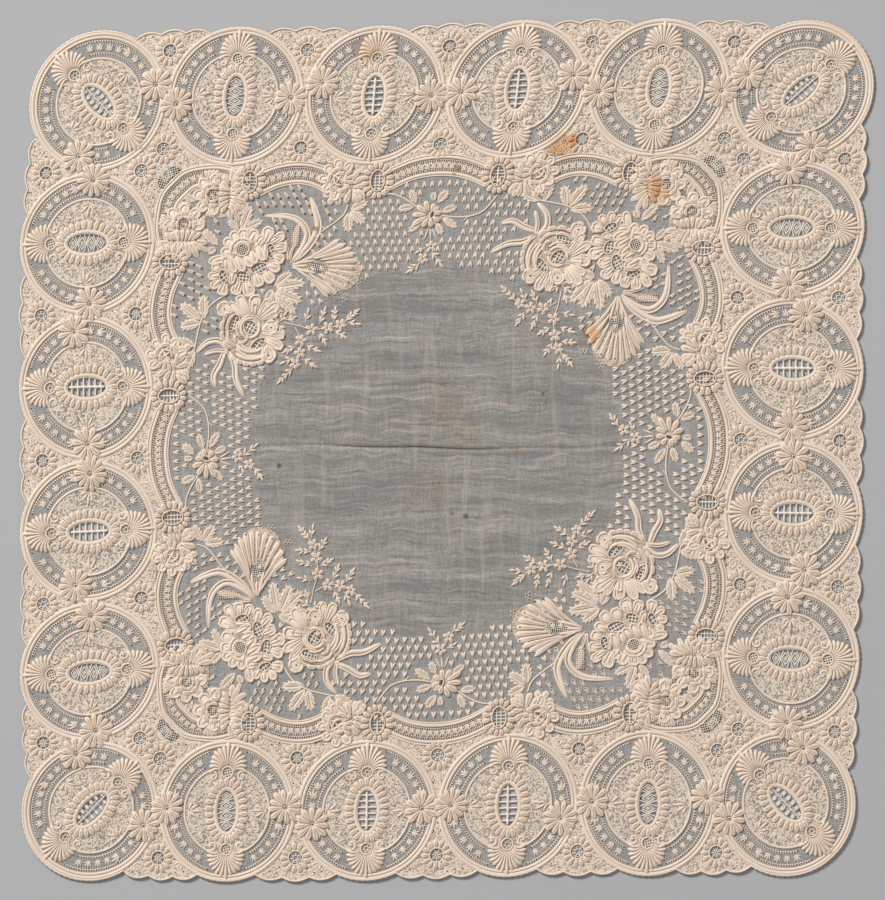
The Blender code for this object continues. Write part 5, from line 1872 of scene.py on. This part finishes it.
    def sprays(self, hand: Hand) -> None:
        """The two sprays of small flowers towards the plain centre."""
        hand.cord([(-78.0, 66.4), (-70.0, 64.6), (-63.2, 62.5), (-55.1, 63.0), (-48.4, 64.3),
                   (-42.6, 68.6)], 0.7)
        hand.cord([(-72.0, 64.0), (-69.0, 57.6), (-69.3, 50.7), (-71.7, 45.1), (-77.4, 38.8)], 0.7)
        for centre, radius, phase in (
                ((-63.2, 62.5), 3.2, 10.0), ((-55.1, 63.0), 3.1, 40.0), ((-48.4, 64.3), 2.8, 60.0),
                ((-68.9, 57.2), 3.1, 0.0), ((-69.3, 50.7), 3.0, 30.0), ((-71.7, 45.1), 2.8, 55.0)):
            hand.forget_me_not(centre, radius, phase)
        for base, tip, pairs in (
                ((-59.2, 65.4), (-56.8, 71.4), 2), ((-51.8, 66.0), (-51.0, 71.6), 2),
                ((-59.0, 61.0), (-56.6, 56.2), 2), ((-51.4, 61.8), (-46.6, 58.6), 2),
                ((-45.6, 66.4), (-40.2, 70.6), 3), ((-44.8, 65.6), (-39.8, 64.6), 1),
                ((-66.2, 54.4), (-60.4, 51.8), 2), ((-71.8, 54.0), (-76.4, 52.0), 2),
                ((-67.4, 47.6), (-62.4, 44.2), 2), ((-73.4, 42.8), (-79.6, 37.0), 3),
                ((-72.6, 48.6), (-77.4, 46.4), 1), ((-66.6, 66.4), (-65.4, 71.0), 1)):
            hand.sprig(base, tip, pairs, 2.6)


@dataclass
class CornerHeart:
    """The small heart of fine net over painted shade outside a frame corner."""

    at: tuple = (-141.5, 141.5)

    def work(self, box: Workbox, side: int) -> None:
        """Work the heart on one corner."""
        hand = Hand(box, box.sampler(f"inner_frame_{side + 1}"), Pen(side, *self.at, 45.0))
        for spot, rx, ry, turn in (((-3.4, 0.4), 3.6, 2.9, 30.0), ((3.4, 0.4), 3.6, 2.9, -30.0),
                                   ((0.0, 1.2), 3.2, 2.6, 0.0)):
            hand.net(spot, rx, ry, turn, 1.15, 0.36, shaded=True)


@dataclass
class ScrollCords:
    """Small curled cords that fill the worked ground between the flowers."""

    gap: float = 4.7
    clear: float = 2.3

    def work(self, box: Workbox, frame_line: Points) -> None:
        """Work curls wherever the border and the medallion fields have room.

        Args:
            box: takes the curls, and holds the other stitching.
            frame_line: the closed line of the frame's outer cords.
        """
        piece = box.sampler("scroll_cords")
        taken = np.vstack([sampler.spots() for sampler in box.floss.values() if sampler is not piece])
        edge = whole_edge()
        centres = np.array([medallion_pen(side, k).place(np.zeros(2)) for side in range(SIDES)
                            for k in range(MEDALLIONS_PER_SIDE)])
        rng = np.random.default_rng(7)
        line = np.arange(-222.0, 222.0, 0.55 * self.gap)
        x, y = np.meshgrid(line, line)
        tries = np.column_stack([x.ravel(), y.ravel()]) + rng.uniform(-0.6, 0.6, (x.size, 2))
        far = np.linalg.norm(tries[:, None] - centres[None], axis=2).min(axis=1)
        room = (far > 36.8) | (far < 20.6)
        tries = tries[room & inside(tries, edge) & ~inside(tries, frame_line)]
        for opening in box.openings:
            tries = tries[~inside(tries, opening)]
        tries = tries[~crowded(tries, taken, self.clear)]
        worked = np.zeros((0, 2))
        for index in rng.permutation(len(tries)):
            spot = tries[index]
            if len(worked) and np.hypot(*(worked - spot).T).min() < self.gap:
                continue
            worked = np.vstack([worked, spot])
            spin = 1.0 if rng.random() < 0.5 else -1.0
            curl = spiral(2.1, 0.5, rng.uniform(0.0, 360.0), 430.0 * spin, 15)
            piece.cord(Pen(0, *spot), curl, 1.05, 0.34)
            if rng.random() < 0.3:
                box.prick(Pen(0, *spot), np.array([polar(2.9, rng.uniform(0.0, 360.0))]), 0.42, 0.3)


@dataclass
class SeedStitches:
    """Rows of small drop stitches over the sheer ground, up to the plain round centre."""

    lie: Lie
    row: float = 4.2
    along: float = 4.35
    clear: float = 1.75
    middle: tuple = (-4.8, 0.2)
    plain_r: float = 96.4

    def work(self, box: Workbox, frame_line: Points) -> None:
        """Work the stitches wherever no other stitching lies.

        Args:
            box: takes the stitches, and holds all the others.
            frame_line: the closed line of the frame's outer cords.
        """
        piece = box.sampler("drop_stitches")
        taken = np.vstack([sampler.spots() for sampler in box.floss.values() if sampler is not piece])
        for side in range(SIDES):
            spots = []
            for i, v in enumerate(np.arange(22.0, 146.0, self.row)):
                reach = v - 1.2
                shift = 0.5 * self.along * (i % 2)
                spots.extend((u + shift, v) for u in np.arange(-148.0, 148.0,
                                                               self.along) if abs(u + shift) < reach)
            spots = np.array(spots)
            rng = np.random.default_rng(40 + side)
            spots = spots + rng.uniform(-0.3, 0.3, spots.shape)
            places = turned(spots, -90.0 * side)
            keep = inside(places, frame_line)
            real = self.lie.moved(places)
            keep &= np.hypot(real[:, 0] - self.middle[0], real[:, 1] - self.middle[1]) > self.plain_r
            keep &= ~crowded(places, taken, self.clear)
            for u, v in spots[keep]:
                self.drop(box, piece, side, float(u), float(v))

    def drop(self, box: Workbox, piece: Sampler, side: int, u: float, v: float) -> None:
        """One drop stitch: an arrowhead near the middle of a side, a pricked teardrop near a corner."""
        lean = 32.0 * max(-1.0, min(1.0, -u / 62.0))
        pen = Pen(side, u, v, lean)
        if abs(u) > 56.0 and v > 98.0:
            piece.lobe(pen, (-0.2, 2.3), (0.0, 0.4), (0.1, -1.8), (0.4, 1.8, 2.6), 0.7, 0.25)
            box.prick(pen, np.array([(0.1, -1.2)]), 0.46, 0.5)
            return
        for across in (-0.7, 0.7):
            piece.lobe(pen, (0.0, 1.9), (0.1 * across, 0.5), (1.4 * across, -1.6), (0.5, 1.5, 1.05),
                       0.75, fine=True)


@dataclass
class Ground:
    """The sheer cloth itself, and the closely worked ground laid over parts of it."""

    lie: Lie
    box: Workbox
    centre_step: float = 1.8
    border_step: float = 4.2
    weld: float = 0.03

    def grid(self, step: float, low: float, high: float) -> Points:
        """Points a step apart whose larger coordinate lies between two limits."""
        line = np.arange(-high, high, step)
        x, y = np.meshgrid(line, line)
        x = x + 0.5 * step * (np.arange(len(line)) % 2)[:, None]
        points = np.column_stack([x.ravel(), y.ravel()])
        reach = np.abs(points).max(axis=1)
        return points[(reach >= low) & (reach < high)]

    def spanned(self, rims: list[Points], loose: Points) -> tuple[Points, Points]:
        """Span triangles between closed lines and loose points.

        Args:
            rims: closed lines that triangles keep to.
            loose: points between them.

        Returns:
            The points and the triangles.
        """
        points = np.vstack([*rims, loose])
        edges, start = [], 0
        for rim in rims:
            numbers = np.arange(start, start + len(rim))
            edges.extend(zip(numbers.tolist(), np.roll(numbers, -1).tolist()))
            start += len(rim)
        verts, _, faces, _, _, _ = delaunay_2d_cdt(points.tolist(), edges, [], 0, self.weld)
        return np.array([tuple(v) for v in verts]), np.array([tuple(f) for f in faces])

    def cut_out(self, middles: Points) -> Points:
        """Which places lie in an opening."""
        out = np.zeros(len(middles), dtype=bool)
        for rim in self.box.openings:
            out |= inside(middles, rim)
        return out

    def sheet(self) -> bpy.types.Object:
        """The sheer cloth: one sheet with its scalloped outline and its openings."""
        fold = self.lie.fold_points()
        middle = self.grid(self.centre_step, 0.0, 104.0)
        middle = middle[~crowded(middle, fold, 0.9)]
        loose = np.vstack([fold, middle, self.grid(self.border_step, 104.0, 225.0)])
        edge = whole_edge()
        points, faces = self.spanned([edge, *self.box.openings], loose)
        middles = points[faces].mean(axis=1)
        faces = faces[inside(middles, edge) & ~self.cut_out(middles)]
        at = self.lie.moved(points)
        # Painted shade along the old fold: a dark line in the fold's trough, strongest near the middle of the cloth.
        line = np.exp(-((at[:, 1] - self.lie.fold_at(at[:, 0])) / 0.42) ** 2)
        fold_shade_strength = 0.9 * np.exp(-((at[:, 0] + 16.0) / 46.0) ** 4) + 0.25
        piece = new_piece("sheer_cloth", self.lie.laid(points, 0.0), faces,
                          shades=line * fold_shade_strength * (np.abs(at[:, 0]) < 104.0))
        self.tidy(piece)
        thick = piece.modifiers.new("thickness", "SOLIDIFY")
        thick.thickness = CLOTH_THICK * MM
        thick.offset = -1.0
        bpy.context.view_layer.objects.active = piece
        bpy.ops.object.modifier_apply(modifier=thick.name)
        return piece

    @staticmethod
    def tidy(piece: bpy.types.Object) -> None:
        """Delete points that no face uses."""
        bpy.ops.object.select_all(action="DESELECT")
        bpy.context.view_layer.objects.active = piece
        piece.select_set(True)
        bpy.ops.object.mode_set(mode="EDIT")
        bpy.ops.mesh.select_all(action="SELECT")
        bpy.ops.mesh.delete_loose()
        bpy.ops.object.mode_set(mode="OBJECT")
        piece.select_set(False)

    def frame_line(self) -> Points:
        """The closed line of the frame's outer cords."""
        runs = []
        for side in range(SIDES):
            corner = arc(CORNER_ARC_OUTER_R, 135.0 + CORNER_ARC_HALF_DEG, 135.0 - CORNER_ARC_HALF_DEG,
                         24,
                         -CORNER_ARC_AT, CORNER_ARC_AT)
            runs.append(turned(corner, -90.0 * side))
            for u in ARC_U:
                run = arc(ARC_OUTER_R, 90.0 + ARC_HALF_DEG, 90.0 - ARC_HALF_DEG, 24, u, ARC_CENTRE_V)
                runs.append(turned(run, -90.0 * side))
        return np.vstack(runs)

    def border(self) -> bpy.types.Object:
        """The closely worked ground between the edge, the medallions and the frame."""
        edge = whole_edge()
        rings = []
        for side in range(SIDES):
            for k in range(MEDALLIONS_PER_SIDE):
                rings.append(medallion_pen(side, k).place(oval(34.0, 34.0, 90)))
        line = self.frame_line()
        loose = self.grid(self.border_step, 100.0, 225.0)
        points, faces = self.spanned([edge, line, *rings, *self.box.openings], loose)
        middles = points[faces].mean(axis=1)
        keep = inside(middles, edge) & ~inside(middles, line) & ~self.cut_out(middles)
        for ring in rings:
            keep &= ~inside(middles, ring)
        piece = new_piece("border_ground", self.lie.laid(points, WORKED_Z), faces[keep])
        self.tidy(piece)
        return piece

    def petal_rims(self) -> list[Points]:
        """The ovals of closely stitched ground under the flowers and fans."""
        ovals = [
            (-96.8, 99.0, 16.6, 14.6, 10.0), (-95.6, 62.4, 13.4, 14.4, 0.0),
            (-48.5, 92.6, 10.6, 11.0, -8.0), (-49.6, 138.0, 11.0, 8.6, 0.0),
            (49.8, 138.0, 11.0, 8.6, 0.0), (-132.4, 113.0, 12.0, 12.4, 0.0),
            (-113.0, 132.4, 12.4, 12.0, 0.0), (-65.8, 94.8, 8.0, 3.4, -6.0),
            (-2.6, 119.6, 6.6, 5.6, 0.0)]
        ovals += [(u, FRAME_V, 7.6, 9.0, 0.0) for u in FRAME_U]
        for k in range(MEDALLIONS_PER_SIDE):
            u = (k - 2.0) * PITCH
            ovals += [(u, ROW + 25.6, 6.6, 6.6, 0.0), (u, ROW - 25.3, 6.6, 6.6, 0.0)]
        ovals += [((s.join - 2.0) * PITCH + s.along, ROW + s.across, 7.4, 7.4, 0.0) for s in DAISIES]
        rims = []
        for side in range(SIDES):
            rims.extend(Pen(side).place(oval(rx, ry, 28, u, v, turn)) for u, v, rx, ry, turn in ovals)
            for k in range(MEDALLIONS_PER_SIDE):
                pen = medallion_pen(side, k)
                rims.extend(pen.place(rim) for rim in (oval(9.6, 15.2, 36),
                                                       oval(9.0, 7.0, 28, 0.0, 25.2),
                                                       oval(9.0, 7.0, 28, 0.0, -25.2)))
        return rims

    def padding(self) -> bpy.types.Object:
        """The closely stitched ground under flowers and fans, between their petals, coloured darker as painted shade.
        """
        rims = self.petal_rims()
        points, faces = self.spanned([*rims, *self.box.openings],
                                     self.grid(self.border_step, 40.0, 218.0))
        middles = points[faces].mean(axis=1)
        keep = np.zeros(len(middles), dtype=bool)
        for rim in rims:
            keep |= inside(middles, rim)
        piece = new_piece("petal_ground", self.lie.laid(points, WORKED_Z + 0.12),
                          faces[keep & ~self.cut_out(middles)])
        self.tidy(piece)
        return piece

    def fields(self) -> bpy.types.Object:
        """The closely worked fields of the medallions."""
        rings = []
        for side in range(SIDES):
            for k in range(MEDALLIONS_PER_SIDE):
                rings.append(medallion_pen(side, k).place(oval(22.4, 22.4, 72)))
        loose = self.grid(self.border_step, 140.0, 225.0)
        points, faces = self.spanned([*rings, *self.box.openings], loose)
        middles = points[faces].mean(axis=1)
        keep = np.zeros(len(middles), dtype=bool)
        for ring in rings:
            keep |= inside(middles, ring)
        piece = new_piece("medallion_fields", self.lie.laid(points, WORKED_Z),
                          faces[keep & ~self.cut_out(middles)])
        self.tidy(piece)
        return piece


@dataclass
class Studio:
    """A plain pale floor, soft light from the upper left and the camera straight above."""

    view_width: float = 0.4575
    camera_height: float = 2.4
    centre: tuple = (-0.00194, 0.00016)
    floor_tone: str = "B2B2B3"

    def set_up(self) -> None:
        """Add the floor, the lights and the camera."""
        bpy.ops.object.select_all(action="DESELECT")
        bpy.ops.mesh.primitive_plane_add(size=4.0, location=(0.0, 0.0, -0.0001))
        floor = bpy.context.active_object
        floor.name = "floor"
        nodes = Nodes("pale floor")
        tone = nodes.ranged(nodes.noise(3.0), 0.3, 0.7, 0.0, 0.3)
        nodes.feed(nodes.shader.inputs["Base Color"], nodes.mix(tone, linear(self.floor_tone),
                                                                linear("AEAEB0")))
        nodes.shader.inputs["Roughness"].default_value = 0.9
        floor.data.materials.append(nodes.material)
        self.light("key", (-3.4, 3.8, 3.5), 1.5, 425.0)
        self.light("fill", (0.8, -0.6, 4.0), 2.2, 24.0)
        world = bpy.data.worlds.new("soft room")
        world.use_nodes = True
        world.node_tree.nodes["Background"].inputs["Color"].default_value = (1.0, 1.0, 1.0, 1.0)
        world.node_tree.nodes["Background"].inputs["Strength"].default_value = 0.22
        bpy.context.scene.world = world
        bpy.context.scene.view_settings.view_transform = "Standard"
        self.camera()

    def light(self, name: str, at: tuple, size: float, power: float) -> None:
        """Add a soft square light that points at the cloth."""
        bpy.ops.object.light_add(type="AREA", location=at)
        lamp = bpy.context.active_object
        lamp.name = name
        lamp.data.size = size
        lamp.data.energy = power
        back = np.array(at) / np.linalg.norm(at)
        flat = math.hypot(back[0], back[1])
        lamp.rotation_euler = (math.atan2(flat, back[2]), 0.0, math.atan2(back[0], -back[1]))

    def camera(self) -> None:
        """Add the camera straight above, framed as the photograph is."""
        camera = bpy.data.cameras.new("camera")
        camera.sensor_width = 36.0
        camera.sensor_fit = "HORIZONTAL"
        camera.lens = 36.0 * self.camera_height / self.view_width
        camera.clip_end = 20.0
        holder = bpy.data.objects.new("camera", camera)
        holder.location = (*self.centre, self.camera_height)
        bpy.context.scene.collection.objects.link(holder)
        bpy.context.scene.camera = holder


def crowded(points: Points, taken: Points, clear: float) -> Points:
    """Which points lie nearer than a clearance to any place already taken.

    Args:
        points: the points to look at.
        taken: the places already taken.
        clear: the clearance.

    Returns:
        One truth value a point.
    """
    cells: dict[tuple, list[int]] = {}
    for number, (i, j) in enumerate(np.floor(taken / clear).astype(int).tolist()):
        cells.setdefault((i, j), []).append(number)
    found = np.zeros(len(points), dtype=bool)
    for number, (i, j) in enumerate(np.floor(points / clear).astype(int).tolist()):
        near = [n for di in (-1, 0, 1) for dj in (-1, 0, 1) for n in cells.get((i + di, j + dj), ())]
        if near:
            found[number] = (np.hypot(*(taken[near] - points[number]).T) < clear).any()
    return found


def medallion_pen(side: int, k: int) -> Pen:
    """The pen of one medallion: the corner ones are turned to the diagonal."""
    corner = k == 0
    return Pen(side, (k - 2.5) * PITCH, ROW if corner else ROW + ROW_BULGE, 45.0 if corner else 0.0)


def filling_of(k: int) -> Filling:
    """The filling of the oval in a side's medallion."""
    return (Filling.CHECKER, Filling.DIAMONDS, Filling.BARS, Filling.BARS, Filling.DIAMONDS)[k]


def main() -> None:
    """Build the handkerchief's looks on its frame."""
    logging.basicConfig(level=logging.INFO, format="%(message)s")
    lie = Lie()
    box = Workbox()
    blanks = (Blank.modelled(6, 5), Blank.modelled(3, 4))
    for side in range(SIDES):
        for k in range(MEDALLIONS_PER_SIDE):
            pen = medallion_pen(side, k)
            Medallion(filling_of(k), 10 * side + k).work(box, box.sampler(f"medallions_{side + 1}"),
                                                         pen)
            Join(k).work(box, side)
        InnerFrame().work(box, side)
        CornerHeart().work(box, side)
        Bouquet().work(box, side)
    EdgeBinding().work(box)

    ground = Ground(lie, box)
    ScrollCords().work(box, ground.frame_line())
    SeedStitches(lie).work(box, ground.frame_line())
    sheet = ground.sheet()
    border = ground.border()
    fields = ground.fields()
    padding = ground.padding()
    SheerBatiste().dress(sheet)
    # Painted shade: the brown gaps of the border and the padding, and the padding's darker thread, stand for the shade
    # between threads and between petals; the fields' grey gap is the cloth.
    WormWork(thread="E8D6C4", gap="B8A492", cover=0.85).dress(border)
    WormWork("worm-stitched field", thread="E6D3C0", gap="8F8880", cover=0.6).dress(fields)
    WormWork("padded ground under petals", thread="D3BFAB", gap="A8937F", cover=0.95).dress(padding)
    worked = [sampler.made(lie, blanks) for sampler in box.floss.values()]
    CottonFloss().dress(*worked)
    lace = box.lace.made(lie, blanks)
    LaceThread().dress(lace)
    painted_shade = box.painted_shade.made(lie, blanks)
    Pinhole().dress(painted_shade)

    everything = [sheet, border, fields, padding, *worked, lace, painted_shade]
    for piece in everything:
        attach(piece, BODY)
        count = sum(len(polygon.vertices) - 2 for polygon in piece.data.polygons)
        LOG.info("%s: %d triangles", piece.name, count)
    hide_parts(NODE)
    rim = lie.moved(whole_edge()) * MM
    Studio().set_up()


if __name__ == "__main__":
    main()
